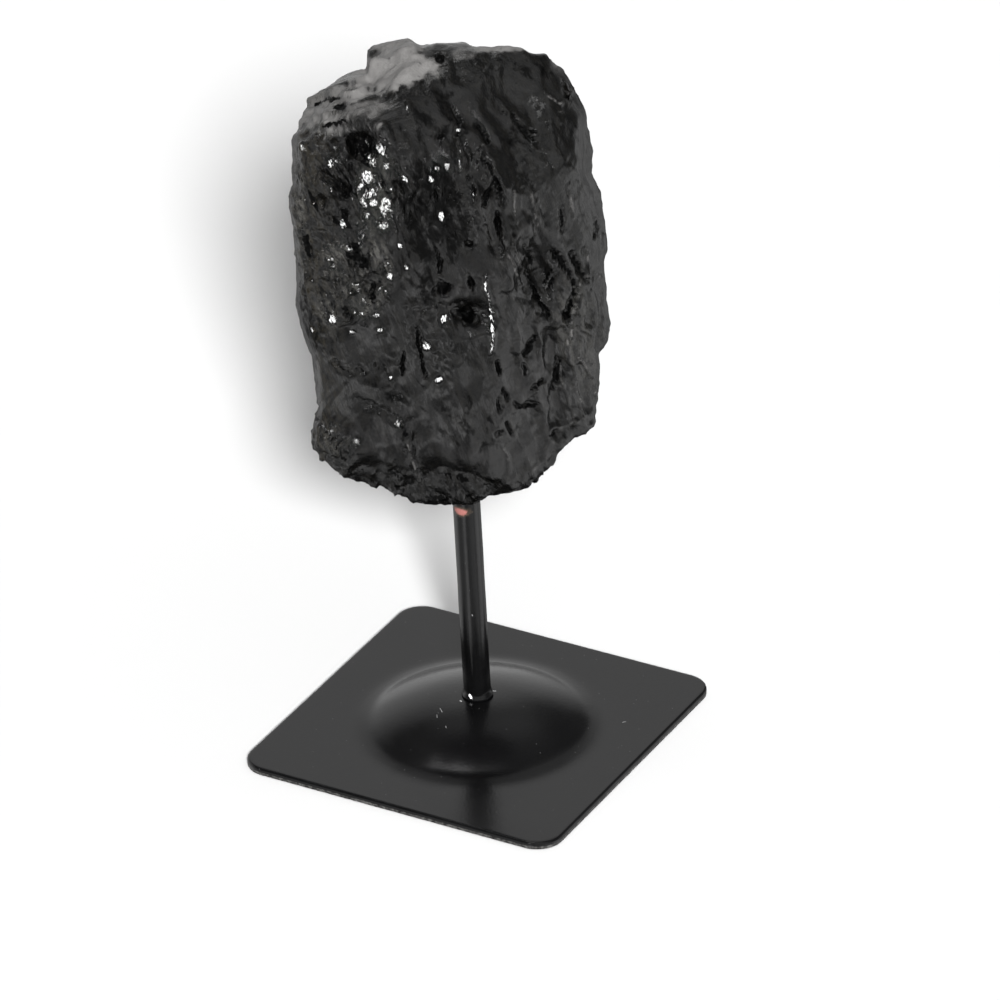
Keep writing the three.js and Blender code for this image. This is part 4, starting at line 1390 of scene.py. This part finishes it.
@dataclass
class RoughStone:
    """The broken tourmaline.

    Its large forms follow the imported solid: a ray from the centre meets the bounding faces, the broken
    surface and the forms of the broad side are laid over them, and the whole is fitted to the outline.
    Facets, scoops, pits and cracks then follow the surface itself.

    Attributes:
        turn_deg: How far round from -Y towards +X the broad side faces.
        raise_deg: The outline is square to a line raised by this much.
        centre_height: Height of the centre, mm.
        centre_left: How far the centre lies to the broad side's left of the base's middle, mm.
        half_size: Half sizes across, deep and up, mm.
        lamp: Where the small lamp is, mm.
        eye: Where the camera is, mm.
        rod: The rod that it sits on.
    """

    rod: WeldedRod
    lamp: Array
    eye: Array
    turn_deg: float = 29.7
    raise_deg: float = 29.9
    centre_height: float = 132.0
    centre_left: float = 3.8
    half_size: Triple = (39.0, 25.0, 60.0)
    # The grid of quads and how its points are fitted to the outline.
    divisions: tuple[int, int, int] = (122, 78, 190)
    front_density: float = 0.66
    outline_sectors: int = 300
    outline_hold: float = 8.0
    outline_ease_deg: float = 0.7
    outline_passes: int = 2
    # Bounding faces, and the walls of marks in shares of their size.
    edge_round: float = 1.9
    face_wander: float = 0.9
    mark_wall: Pair = (0.3, 1.2)
    cut_wall: Pair = (0.0, 1.1)
    hollow_wall: Pair = (0.35, 0.95)
    mark_fade: float = 2.0
    rim_follow: float = 0.3
    cut_power: float = 1.35
    # The hole: its radius and depth over the rod's, and how long the drill is, mm.
    hole_sides: int = 48
    hole_play: float = 0.18
    hole_gap: float = 0.12
    hole_depth: float = 18.0
    # The broken surface, from broad to fine: heights in mm, and shares.
    grain_lean_deg: float = 17.0
    swell: Swell = Swell(0.05, 0.035, 1.4, 3)
    chip: Swell = Swell(0.12, 0.05, 2.4, 11)
    hackle: Swell = Swell(0.25, 0.12, 0.7, 23)
    ledges: Facets = Facets((9.0, 9.0, 16.0), 0.16, 0.5, 18.0, 61)
    splinters: Facets = Facets((3.0, 3.0, 7.5), 0.55, 0.3, 40.0, 67)
    crumbs: Facets = Facets((1.4, 1.4, 3.0), 0.36, 0.1, 30.0, 71)
    scallops: Scallops = Scallops((7.0, 7.0, 13.0), 0.8, 73)
    swell_height: float = 1.1
    dapple_height: float = 0.24
    flute_height: float = 2.2
    terrace_pitch: float = 2.9
    terrace_depth: float = 1.3
    top_calm: float = 0.5
    background_coarse: float = 0.4
    smooth_coarse: float = 0.04
    warp_mm: float = 1.3
    # Share of the pale painted highlight along crests.
    crest_painted_highlight: float = 0.5

    def __post_init__(self) -> None:
        """Works out the stone's axes."""
        turn, lift = math.radians(self.turn_deg), math.radians(self.raise_deg)
        right = np.array([math.cos(turn), math.sin(turn), 0.0])
        deep = np.array([-math.sin(turn), math.cos(turn), 0.0])
        self.axes = np.stack([right, deep, (0.0, 0.0, 1.0)], axis=1)
        self.centre = np.array([0.0, 0.0, self.centre_height]) - self.centre_left * right
        self.lamp = (self.lamp - self.centre) @ self.axes
        self.eye = (self.eye - self.centre) @ self.axes
        self.show_up = np.array([0.0, math.sin(lift), math.cos(lift)])
        self.show_front = np.array([0.0, -math.cos(lift), math.sin(lift)])
        lean = math.radians(self.grain_lean_deg)
        cosine, sine = math.cos(lean), math.sin(lean)
        self.grain_spin = np.array([[cosine, 0.0, sine], [0.0, 1.0, 0.0], [-sine, 0.0, cosine]])

    def to_grain(self, points: Array) -> Array:
        """Points of the stone's own frame in the grain's axes."""
        return points @ self.grain_spin.T

    def directions(self) -> tuple[Array, Array]:
        """Unit directions from the centre, closer together on the broad side, and the quads between them.

        Returns:
            Directions, (n, 3), and quads, (m, 4).
        """
        grid, quads = box_grid(self.divisions)
        ball = np.tan(grid * math.pi / 4.0)
        ball /= np.linalg.norm(ball, axis=1, keepdims=True)
        away = np.arccos(np.clip(-ball[:, 1], -1.0, 1.0))
        drawn = 2.0 * np.arctan(np.tan(np.minimum(away, math.pi - 1e-9) / 2.0) * self.front_density)
        plan = ball[:, [0, 2]] / np.maximum(np.sin(away), 1e-9)[:, None]
        ball = np.stack([plan[:, 0] * np.sin(drawn), -np.cos(drawn), plan[:, 1] * np.sin(drawn)], -1)
        ball *= self.half_size
        return ball / np.linalg.norm(ball, axis=1, keepdims=True), quads

    def bounding(self, directions: Array) -> tuple[Array, Array]:
        """Where rays from the centre leave the bounding faces.

        Args:
            directions: Unit directions, (n, 3).

        Returns:
            Reach of each ray with eased edges, mm, and how far its place belongs to the broad side, 0 to 1.
        """
        normals = np.array([unit(face.towards) for face in FACES])
        cosine = directions @ normals.T
        distance = np.tile([float(face.distance) for face in FACES], (len(directions), 1))
        for index in range(len(FACES)):
            wander = value_noise(directions * 2.6 + 3.0 * index, 101 + index)
            distance[:, index] += self.face_wander * wander
        reach = np.where(cosine > 0.05, distance / np.maximum(cosine, 0.05), 1e6)
        shown = (normals @ self.show_front > 0.0).astype(float)
        closest = reach.min(axis=1)
        behind = closest[:, None] - reach
        eased = closest - self.edge_round * np.log(np.exp(behind / self.edge_round).sum(axis=1))
        near = np.exp(behind / self.mark_fade)
        return eased, (near @ shown) / near.sum(axis=1)

    def breakage(self, points: Array) -> Array:
        """Height of the broken surface over the bounding faces.

        Args:
            points: Points in its own frame, mm.

        Returns:
            Heights, mm.
        """
        grain = self.to_grain(points)
        ribs = self.chip.height * (0.35 - np.abs(self.chip.noise(grain)))
        swell = self.swell.height * self.swell.noise(grain)
        return swell + ribs + self.hackle.height * self.hackle.noise(grain)

    def show_places(self, points: Array) -> tuple[Array, Array]:
        """Places square to the broad side: right of and above the centre, mm."""
        return points[:, 0], points @ self.show_up

    def outline_radius(self, angles: Array) -> Array:
        """Radius of the wanted outline.

        Args:
            angles: Directions in the outline's plane, radians.

        Returns:
            Radii, mm.
        """
        start = np.array(OUTLINE)
        side = np.roll(start, -1, axis=0) - start
        ray = rays(angles)
        turn = ray[:, None, 0] * side[None, :, 1] - ray[:, None, 1] * side[None, :, 0]
        turn = np.where(np.abs(turn) < 1e-9, 1e-9, turn)
        along = (start[:, 0] * side[:, 1] - start[:, 1] * side[:, 0])[None] / turn
        share = (start[None, :, 0] * ray[:, None, 1] - start[None, :, 1] * ray[:, None, 0]) / turn
        meets = (share >= 0.0) & (share <= 1.0)
        return np.where(meets, along, 0.0).max(axis=1)

    def fit_outline(self, points: Array) -> Array:
        """Stretches the points square to the broad side until their outline is the wanted one.

        Args:
            points: Points in its own frame, mm, (n, 3).

        Returns:
            The moved points, mm, (n, 3).
        """
        across, above = self.show_places(points)
        radius, angle = np.hypot(across, above), np.arctan2(above, across)
        turns = (angle / (2.0 * math.pi) + 1.0) * self.outline_sectors
        reach = np.zeros(self.outline_sectors)
        for shift in (-0.5, 0.0, 0.5):
            sector = np.floor(turns + shift).astype(int) % self.outline_sectors
            np.maximum.at(reach, sector, radius)
        low = np.floor(turns - 0.5).astype(int)
        part = turns - 0.5 - low
        spread = math.radians(self.outline_ease_deg) * np.array([-1.0, -0.5, 0.0, 0.5, 1.0])
        wanted = np.mean([self.outline_radius(angle + turn) for turn in spread], axis=0)
        own = reach[low % self.outline_sectors] * (1.0 - part)
        own += reach[(low + 1) % self.outline_sectors] * part
        held = np.minimum(1.0, radius / own) ** self.outline_hold
        pull = (wanted / own - 1.0) * held
        moved = points.copy()
        moved[:, 0] += across * pull
        return moved + (above * pull)[:, None] * self.show_up

    def patches(
        self, patches: Sequence[Mark], points: Array, wall: Pair = (0.5, 1.25), ragged: Value = 0.0
    ) -> Array:
        """Strongest of some soft patches at points in its own frame; a patch's depth is its strength."""
        across, above = self.show_places(points)
        return np.max([each.depth * each.inside(across, above, wall, ragged) for each in patches], axis=0)

    def coarseness(self, points: Array, shown: Array) -> Array:
        """How rough the surface is at points of the stone's own frame, 0 to 1."""
        on_show = np.maximum(self.patches(ROUGH_PATCHES, points), self.smooth_coarse)
        return shown * on_show + (1.0 - shown) * self.background_coarse

    def shown_share(self, points: Array) -> Array:
        """How far points of the stone belong to its broad side, 0 to 1."""
        reach = np.linalg.norm(points, axis=1, keepdims=True)
        return self.bounding(points / reach)[1]

    def shape(self) -> tuple[Array, Array]:
        """Works the stone out in its own frame.

        Returns:
            Points, mm, (n, 3), and quads, (m, 4).
        """
        directions, quads = self.directions()
        reach, shown = self.bounding(directions)
        points = directions * reach[:, None]
        across, above = self.show_places(points)
        ragged = 0.22 * value_noise(points * 0.22, 103) + 0.1 * value_noise(points * 0.6, 105)
        depth = sum(mark.depth * mark.inside(across, above, self.mark_wall, ragged) for mark in FORMS)
        reach = reach + self.breakage(points) - shown * depth
        points = directions * reach[:, None]
        for _ in range(self.outline_passes):
            points = self.fit_outline(points)
        points = self.carve(points, quads, shown)
        points = self.turn_chips(points, shown)
        return points, quads

    def carve(self, points: Array, quads: Array, shown: Array) -> Array:
        """Lays the fine relief over the surface, along its normals.

        Args:
            points: Points in its own frame, mm.
            quads: Quads between them.
            shown: How far each belongs to the broad side.

        Returns:
            The moved points, mm.
        """
        coarse = self.coarseness(points, shown) * (1.0 - shown * self.patches(CALM_PATCHES, points))
        scooped = shown * self.patches(SCALLOP_PATCHES, points) + (1.0 - shown) * 0.4
        fibred = shown * self.patches(FIBRE_PATCHES, points)
        warp = self.warp(points)
        grain = self.to_grain(points + warp)
        normals = vertex_normals(points, quads)
        relief = self.swell_height * fractal(grain * (0.1, 0.1, 0.045), 85, 3)
        relief += self.dapple_height * fractal(grain * (0.34, 0.34, 0.16), 87, 3)
        relief += self.ledges.height(grain) * (0.2 + 0.8 * coarse)
        relief += self.splinters.height(grain) * coarse
        relief += self.crumbs.height(grain) * coarse
        relief += self.scallops.height(grain) * scooped
        relief += self.flutes(grain, (0.3, 0.05), 91) * scooped
        relief += self.flutes(grain, (0.75, 0.1), 93) * 0.3 * (scooped * 0.4 + fibred)
        relief *= 1.0 - self.top_calm * smoothstep(normals[:, 2], 0.4, 0.8)
        relief += self.terraces(points, warp) * shown
        shares = self.cut_shares(points, self.cut_wall)
        relief -= shown * sum(mark.depth * share for mark, share in zip(CUTS + CRACKS, shares))
        relief -= shown * sum(crest.depth * share for crest, share in zip(CRESTS, self.crest_shares(points)))
        rim = np.abs(normals @ self.show_front)
        relief *= 0.75 + 0.25 * smoothstep(rim, 0.05, 0.45)
        return points + normals * relief[:, None]

    def flutes(self, grain: Array, waves: Pair, seed: int) -> Array:
        """Heights of soft folds with crests, mm; waves are folds per mm across and along the grain."""
        fold = value_noise(grain * (waves[0], waves[0], waves[1]), seed)
        return self.flute_height * (0.3 - np.sqrt(fold * fold + 0.003))

    def terraces(self, points: Array, warp: Array) -> Array:
        """Thin ledges one above another on the upper left shoulder.

        Args:
            points: Points in its own frame, mm.
            warp: Offsets that bend the ledges, mm.

        Returns:
            Heights, mm.
        """
        across, above = self.show_places(points + 0.6 * warp)
        level = (above - 0.32 * across) / self.terrace_pitch
        step = level - np.floor(level)
        tread = smoothstep(step, 0.0, 0.62) - smoothstep(step, 0.62, 1.0)
        return self.terrace_depth * (tread - 0.5) * self.patches(TERRACE_PATCHES, points)

    def warp(self, points: Array) -> Array:
        """Offsets that bend the pattern of the broken surface, mm, (n, 3)."""
        return np.stack([fractal(points * 0.22, 83 + axis, 3) for axis in range(3)], -1) * self.warp_mm

    def cut_shares(self, points: Array, wall: Pair) -> list[Array]:
        """How far points belong to each of the cuts, whose rims follow the broken facets.

        Args:
            points: Points in its own frame, mm.
            wall: Where a cut's wall starts and ends, in shares of its size.

        Returns:
            Shares from 0 to 1, one array for each cut.
        """
        warp = self.warp(points)
        middles = self.crumbs.centres(self.to_grain(points + warp)) @ self.grain_spin - warp
        follow = self.rim_follow
        across, above = self.show_places(points * (1.0 - follow) + middles * follow + 0.25 * warp)
        ragged = 0.22 * value_noise(points * 0.9, 95) + 0.12 * value_noise(points * 2.1, 97)
        shares = [mark.inside(across, above, wall, ragged, self.cut_power) for mark in CUTS]
        across, above = self.show_places(points + 0.45 * warp)
        jagged = 0.6 * value_noise(points * 1.1, 94) + 0.3 * value_noise(points * 2.3, 97)
        return shares + [crack.inside(across, above, (wall[0], wall[1] + 0.35), jagged) for crack in CRACKS]

    def crest_shares(self, points: Array) -> list[Array]:
        """How far points belong to each of the crests, 0 to 1."""
        across, above = self.show_places(points + 0.2 * self.warp(points))
        return [crest.inside(across, above, (0.0, 1.5)) for crest in CRESTS]

    def turn_chips(self, points: Array, shown: Array) -> Array:
        """Flattens small chips so that they face between the broad side's line and the lamp.

        Args:
            points: Points in its own frame, mm.
            shown: How far each belongs to the broad side.

        Returns:
            The moved points, mm.
        """
        moved = points.copy()
        for inside in self.chip_shares(points, shown, 1.5):
            near = inside > 0.5
            if near.sum() < 3:
                continue
            middle = points[near].mean(axis=0)
            facing = unit(unit(self.lamp - middle) + unit(self.eye - middle))
            off = (moved - middle) @ facing
            moved -= (inside * off)[:, None] * facing
        return moved

    def chip_shares(self, points: Array, shown: Array, reach: float) -> list[Array]:
        """How far points belong to each of the small chips.

        Args:
            points: Points in its own frame, mm.
            shown: How far each belongs to the broad side.
            reach: Where a chip ends, in shares of its size.

        Returns:
            Shares from 0 to 1, one array for each chip.
        """
        across, above = self.show_places(points)
        ragged = 0.3 * value_noise(points * 1.1, 99)
        chips = [Mark((x, y), (wide, tall), self.grain_lean_deg, 1.0) for x, y, wide, tall in CHIPS]
        return [chip.inside(across, above, (reach - 0.5, reach), ragged) * (shown > 0.5) for chip in chips]

    def build(self) -> bpy.types.Object:
        """Builds, drills and dresses the stone.

        Returns:
            The stone.
        """
        own, quads = self.shape()
        points = own @ self.axes.T + self.centre
        low, high = (np.array(corner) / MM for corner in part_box(CadNode.STONE.value))
        outside = np.maximum(points - high, low - points).max()
        LOG.info("stone: %d quads, %.2f mm outside its solid's box before the hold", len(quads), outside)
        points = np.clip(points, low, high)
        made = make_mesh("tourmaline_stone", points, [quads])
        self.drill(made)
        self.keep_masks(made)
        facing = self.axes @ unit(unit(self.lamp) + unit(self.eye))
        finish = TourmalineFinish().material(self.centre, self.axes @ self.grain_spin.T, facing)
        made.data.materials.clear()
        made.data.materials.append(finish)
        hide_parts(CadNode.STONE.value)
        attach(made, "root")
        return made

    def drill(self, stone: bpy.types.Object) -> None:
        """Cuts the blind hole for the rod.

        Args:
            stone: The undrilled stone.
        """
        sides = self.hole_sides
        ring = rays(np.linspace(0.0, 2.0 * math.pi, sides, endpoint=False))
        ring *= self.rod.radius + self.hole_play
        top = self.rod.length + self.hole_gap
        low = top - 2.0 * self.hole_depth
        middles = [[0.0, 0.0, low], [0.0, 0.0, top]]
        points = np.concatenate([at_height(ring, low), at_height(ring, top), middles])
        points = points @ self.rod.frame().T + (0.0, 0.0, self.rod.foot)
        ends = [cap_triangles(2 * sides, 0, sides, False), cap_triangles(2 * sides + 1, sides, sides, True)]
        faces = [ring_quads(2, sides), *ends]
        drill_bit = make_mesh("drill", points, faces, smooth=False)
        cut = stone.modifiers.new("hole", "BOOLEAN")
        cut.operation, cut.solver, cut.object = "DIFFERENCE", "MANIFOLD", drill_bit
        graph = bpy.context.evaluated_depsgraph_get()
        drilled = bpy.data.meshes.new_from_object(stone.evaluated_get(graph))
        LOG.info("stone: %d faces before drilling, %d after", len(stone.data.polygons), len(drilled.polygons))
        stone.modifiers.clear()
        old = stone.data
        stone.data = drilled
        bpy.data.meshes.remove(old)
        used = drill_bit.data
        bpy.data.objects.remove(drill_bit)
        bpy.data.meshes.remove(used)
        stone.data.name = stone.name

    def keep_masks(self, stone: bpy.types.Object) -> None:
        """Keeps on the mesh how coarse, warm and freshly broken each place is, where the pale painted sheen
        lies and where painted shade darkens hollows.

        Args:
            stone: The drilled stone.
        """
        mesh = stone.data
        points = np.zeros(len(mesh.vertices) * 3, np.float32)
        normals = np.zeros_like(points)
        mesh.vertices.foreach_get("co", points)
        mesh.vertices.foreach_get("normal", normals)
        own = (points.reshape(-1, 3) / MM - self.centre) @ self.axes
        up = normals.reshape(-1, 3)[:, 2]
        shown = self.shown_share(own)
        across, above = self.show_places(own)
        ragged = 0.25 * value_noise(own * 0.5, 107) + 0.15 * value_noise(own * 1.3, 109)
        # Pale painted sheen on up-facing parts of the top and on the top of the back, standing for light from
        # above.
        painted_sheen_patches = self.patches(PAINTED_SHEEN_PATCHES, own, (0.6, 1.2), ragged)
        unseen = (1.0 - shown) * smoothstep(own[:, 2], 42.0, 54.0) * smoothstep(up, 0.0, 0.8)
        # Painted shade in the floors of cuts and cracks.
        cuts = zip(CUTS + CRACKS, self.cut_shares(own, self.hollow_wall))
        hollow = [mark.dark * share for mark, share in cuts if mark.depth > 0.0]
        # Painted highlight along the crests.
        crested = np.max([crest.dark * share for crest, share in zip(CRESTS, self.crest_shares(own))], axis=0)
        crested *= 0.35 + 0.65 * smoothstep(value_noise(own * 0.7, 115), -0.35, 0.35)
        left = smoothstep(-own[:, 0], 24.0, 36.0)
        swayed = across + 0.5 * value_noise(own * 0.9, 113)
        masks = {
            "coarse": self.coarseness(own, shown),
            "warm": np.clip(0.15 + left, 0.0, 1.0),
            "pale": np.maximum(smoothstep(up, -0.45, 0.4) * painted_sheen_patches, self.crest_painted_highlight * crested) * shown + unseen,
            "hollow": np.max(hollow, axis=0) * shown,
            "fresh": np.max(self.chip_shares(own, shown, 1.7), axis=0),
            "streak": shown * STREAK.inside(swayed, above, (0.3, 0.9), 0.5 * ragged),
            "shade": np.maximum(shown * self.patches(SHADE_PATCHES, own), self.patches(EDGE_SHADES, own)),
            "sparkle": shown * self.patches(SPARKLE_PATCHES, own),
            "dust_and_sheen": shown * self.patches(DUST_AND_SHEEN_PATCHES, own),
        }
        for name, values in masks.items():
            layer = mesh.attributes.new(name, "FLOAT", "POINT")
            layer.data.foreach_set("value", values.astype(np.float32))


# --- Studio ---


@dataclass(frozen=True)
class Bearing:
    """A direction: degrees round the stand to the camera's right, and degrees above the floor."""

    round_deg: float
    up_deg: float

    def direction(self, camera_turn_deg: float) -> Array:
        """The direction in the part's frame.

        Args:
            camera_turn_deg: How far round from -Y towards +X the camera stands.

        Returns:
            A unit vector.
        """
        turn, lift = math.radians(camera_turn_deg + self.round_deg), math.radians(self.up_deg)
        flat = math.cos(lift)
        return np.array([math.sin(turn) * flat, -math.cos(turn) * flat, math.sin(lift)])


@dataclass(frozen=True)
class Glow:
    """A soft-edged bright or dark patch of the surroundings.

    Attributes:
        at: Where its middle is.
        inner_deg: Radius inside which it is even.
        outer_deg: Radius at which it has died out.
        radiance: What it adds.
    """

    at: Bearing
    inner_deg: float
    outer_deg: float
    radiance: float


@dataclass
class Studio:
    """A pale floor, soft light all round, a soft key and one small lamp.

    Attributes:
        camera_turn_deg: How far round from -Y towards +X the camera stands.
        glows: Patches of the surroundings.
        ambient: Even radiance under them.
        darkest: Least radiance anywhere.
        patch_scale: How fine the unevenness below the horizon is.
        patch_range: How much dimmer and brighter it makes them.
        key: Where the key light stands.
        key_angle_deg: Its apparent width.
        key_strength: Its irradiance.
        fill: Where the broad fill stands.
        fill_angle_deg: Its apparent width.
        fill_strength: Its irradiance.
        lamp: Where the small lamp stands.
        lamp_distance: Its distance, m.
        lamp_target: Height of the place it is turned to, m.
        lamp_size: Its width, m.
        lamp_radiance: Its brightness.
        floor_colour: How pale the floor is.
        floor_size: Its sides, m.
        backdrop: How bright the surroundings are where they are looked at straight, above the floor.
    """

    camera_turn_deg: float = 29.656
    ambient: float = 0.065
    darkest: float = 0.02
    patch_scale: float = 2.6
    patch_range: Pair = (0.55, 1.45)
    glows: tuple[Glow, ...] = (
        Glow(Bearing(-170, 13), 18, 38, 0.53),
        Glow(Bearing(-115, 14), 12, 34, 0.5),
        Glow(Bearing(115, 12), 12, 34, 0.1),
        Glow(Bearing(-105, 76), 4, 11, 3.6),
        Glow(Bearing(180, 84), 6, 12, 0.9),
        Glow(Bearing(175, 50), 12, 24, 0.22),
        Glow(Bearing(-140, 60), 6, 18, 0.07),
        Glow(Bearing(145, 60), 6, 18, 0.09),
        Glow(Bearing(-172, -4), 8, 20, 0.17),
        Glow(Bearing(16, 46), 16, 38, 0.36),
        Glow(Bearing(0, -38), 18, 50, 0.17),
        Glow(Bearing(16, 5), 20, 46, 0.225),
        Glow(Bearing(-28, -32), 4, 15, 0.7),
        Glow(Bearing(-75, -32), 22, 48, 0.4),
        Glow(Bearing(58, -34), 16, 40, 0.63),
        Glow(Bearing(86, -28), 8, 24, 0.3),
        Glow(Bearing(-125, -20), 15, 40, 0.33),
        Glow(Bearing(115, -26), 14, 36, 0.5),
        Glow(Bearing(180, -20), 26, 60, 0.1),
    )
    key: Bearing = Bearing(5.0, 29.5)
    key_angle_deg: float = 8.5
    key_strength: float = 9.9
    fill: Bearing = Bearing(60.0, 62.0)
    fill_angle_deg: float = 70.0
    fill_strength: float = 1.1
    lamp: Bearing = Bearing(-32.0, 25.0)
    lamp_distance: float = 2.0
    lamp_target: float = 0.13
    lamp_size: float = 0.2
    lamp_radiance: float = 30.0
    floor_colour: float = 0.472
    backdrop: float = 1.02
    floor_size: float = 20.0

    def build(self) -> None:
        """Makes the floor, the surroundings and the lights."""
        self.make_floor()
        self.make_world()
        self.make_sun("key", self.key, self.key_angle_deg, self.key_strength)
        self.make_sun("fill", self.fill, self.fill_angle_deg, self.fill_strength)
        self.make_lamp()
        view = bpy.context.scene.view_settings
        view.view_transform, view.look = "Standard", "None"

    def make_floor(self) -> None:
        """Lays the floor."""
        half = self.floor_size / 2.0 / MM
        corners = np.array([[-half, -half, 0.0], [half, -half, 0.0], [half, half, 0.0], [-half, half, 0.0]])
        floor = make_mesh("floor", corners, [np.array([[0, 1, 2, 3]])], smooth=False)
        floor.location.z = -0.0002
        material, shader, surface = new_material("pale_floor_finish")
        at = shader.add("ShaderNodeTexCoord").outputs["Object"]
        tones = (self.floor_colour * 0.99, self.floor_colour)
        tone = shader.remap(shader.noise(at, 1.5, 3.0), (0.3, 0.7), tones)
        shader.feed(surface.inputs["Base Color"], shader.combine(tone, tone, tone))
        surface.inputs["Roughness"].default_value = 1.0
        surface.inputs["Specular IOR Level"].default_value = 0.0
        floor.data.materials.append(material)
        floor.visible_glossy = False

    def make_world(self) -> None:
        """Makes the surroundings."""
        world = bpy.data.worlds.new("studio")
        world.use_nodes = True
        world.node_tree.nodes.clear()
        bpy.context.scene.world = world
        shader = Shader(world.node_tree)
        towards = shader.add("ShaderNodeTexCoord").outputs["Generated"]
        total: Value = self.ambient
        for glow in self.glows:
            middle = tuple(glow.at.direction(self.camera_turn_deg))
            cosine = shader.dot(towards, middle)
            edges = (math.cos(math.radians(glow.outer_deg)), math.cos(math.radians(glow.inner_deg)))
            total = shader.math("ADD", shader.remap(cosine, edges, (0.0, glow.radiance)), total)
        patchy = shader.noise(towards, self.patch_scale, 3.0, 0.6)
        patchy = shader.remap(patchy, (0.3, 0.7), self.patch_range)
        up = shader.dot(towards, (0.0, 0.0, 1.0))
        patchy = shader.between(shader.remap(up, (-0.25, 0.0)), patchy, 1.0)
        light = shader.math("MAXIMUM", shader.math("MULTIPLY", total, patchy), self.darkest)
        straight = shader.add("ShaderNodeLightPath").outputs["Is Camera Ray"]
        light = shader.between(straight, light, self.backdrop)
        background = shader.add("ShaderNodeBackground", {"Color": (1.0, 1.0, 1.0), "Strength": light})
        shader.add("ShaderNodeOutputWorld", {"Surface": background.outputs[0]})

    def place(self, light: bpy.types.Object, bearing: Bearing, distance: float, target: Vector) -> None:
        """Puts a light at a bearing from a target and turns it to it.

        Args:
            light: The light.
            bearing: Where it stands.
            distance: How far off, m.
            target: What it is turned to, m.
        """
        towards = Vector(bearing.direction(self.camera_turn_deg))
        light.location = target + towards * distance
        light.rotation_mode = "QUATERNION"
        light.rotation_quaternion = towards.to_track_quat("Z", "Y")
        bpy.context.scene.collection.objects.link(light)

    def make_sun(self, name: str, bearing: Bearing, angle_deg: float, strength: float) -> None:
        """Makes a far soft light, which lights the floor and isn't mirrored.

        Args:
            name: Name of the light.
            bearing: Where it stands.
            angle_deg: Its apparent width.
            strength: Its irradiance.
        """
        data = bpy.data.lights.new(name, "SUN")
        data.energy = strength
        data.angle = math.radians(angle_deg)
        light = bpy.data.objects.new(name, data)
        light.visible_glossy = False
        self.place(light, bearing, 2.0, Vector((0.0, 0.0, 0.1)))

    def make_lamp(self) -> None:
        """Makes the small lamp, which only shows as glints."""
        data = bpy.data.lights.new("lamp", "AREA")
        data.shape = "DISK"
        data.size = self.lamp_size
        area = math.pi * (self.lamp_size / 2.0) ** 2
        data.energy = self.lamp_radiance * math.pi * area
        lamp = bpy.data.objects.new("lamp", data)
        lamp.visible_diffuse = False
        lamp.visible_camera = False
        self.place(lamp, self.lamp, self.lamp_distance, Vector((0.0, 0.0, self.lamp_target)))

    def lamp_place(self) -> Array:
        """Where the small lamp stands, mm."""
        towards = self.lamp.direction(self.camera_turn_deg)
        return (towards * self.lamp_distance + (0.0, 0.0, self.lamp_target)) / MM


@dataclass(frozen=True)
class ViewCamera:
    """The camera.

    Attributes:
        turn_deg: How far round from -Y towards +X it stands.
        raise_deg: How far above the floor.
        roll_deg: Roll of the picture.
        distance: Distance to the origin along its line, m.
        right: How far it is shifted to its right, m.
        up: How far it is shifted up, m.
        lens: Focal length, mm on a sensor of 36 mm.
    """

    turn_deg: float = 29.656
    raise_deg: float = 29.91
    roll_deg: float = -1.525
    distance: float = 2.04307
    right: float = 0.005498
    up: float = 0.058178
    lens: float = 288.0

    def axes(self) -> tuple[Vector, Vector, Vector]:
        """The camera's right, up and back.

        Returns:
            Three unit vectors.
        """
        back = Vector(Bearing(0.0, self.raise_deg).direction(self.turn_deg))
        turn, roll = math.radians(self.turn_deg), math.radians(self.roll_deg)
        level = Vector((math.cos(turn), math.sin(turn), 0.0))
        upright = back.cross(level)
        right = level * math.cos(roll) + upright * math.sin(roll)
        return right, upright * math.cos(roll) - level * math.sin(roll), back

    def place(self) -> Array:
        """Where the camera stands, mm."""
        right, up, back = self.axes()
        return np.array(right * self.right + up * self.up + back * self.distance) / MM

    def build(self) -> bpy.types.Object:
        """Makes the camera and sets it as the scene's.

        Returns:
            The camera.
        """
        right, up, back = self.axes()
        data = bpy.data.cameras.new("camera")
        data.lens, data.sensor_width = self.lens, 36.0
        data.clip_start, data.clip_end = 0.05, 100.0
        camera = bpy.data.objects.new("camera", data)
        bpy.context.scene.collection.objects.link(camera)
        place = Vector(self.place() * MM)
        camera.matrix_world = Matrix.Translation(place) @ Matrix((right, up, back)).transposed().to_4x4()
        bpy.context.scene.camera = camera
        return camera


def report(piece: bpy.types.Object) -> None:
    """Logs a piece's size and triangles.

    Args:
        piece: The piece.
    """
    triangles = sum(len(polygon.vertices) - 2 for polygon in piece.data.polygons)
    sides = [round(side / MM, 1) for side in piece.dimensions]
    LOG.info("%s: %s mm, %d triangles", piece.name, sides, triangles)


def main() -> None:
    """Builds the stand, the stone, the studio and the camera."""
    logging.basicConfig(level=logging.INFO, format="%(message)s")
    studio, camera = Studio(), ViewCamera()
    base = SheetBase()
    rod = WeldedRod(base=base)
    stone = RoughStone(rod=rod, lamp=studio.lamp_place(), eye=camera.place())
    for part in (base, rod, stone):
        report(part.build())
    studio.build()
    camera.build()


if __name__ == "__main__":
    main()
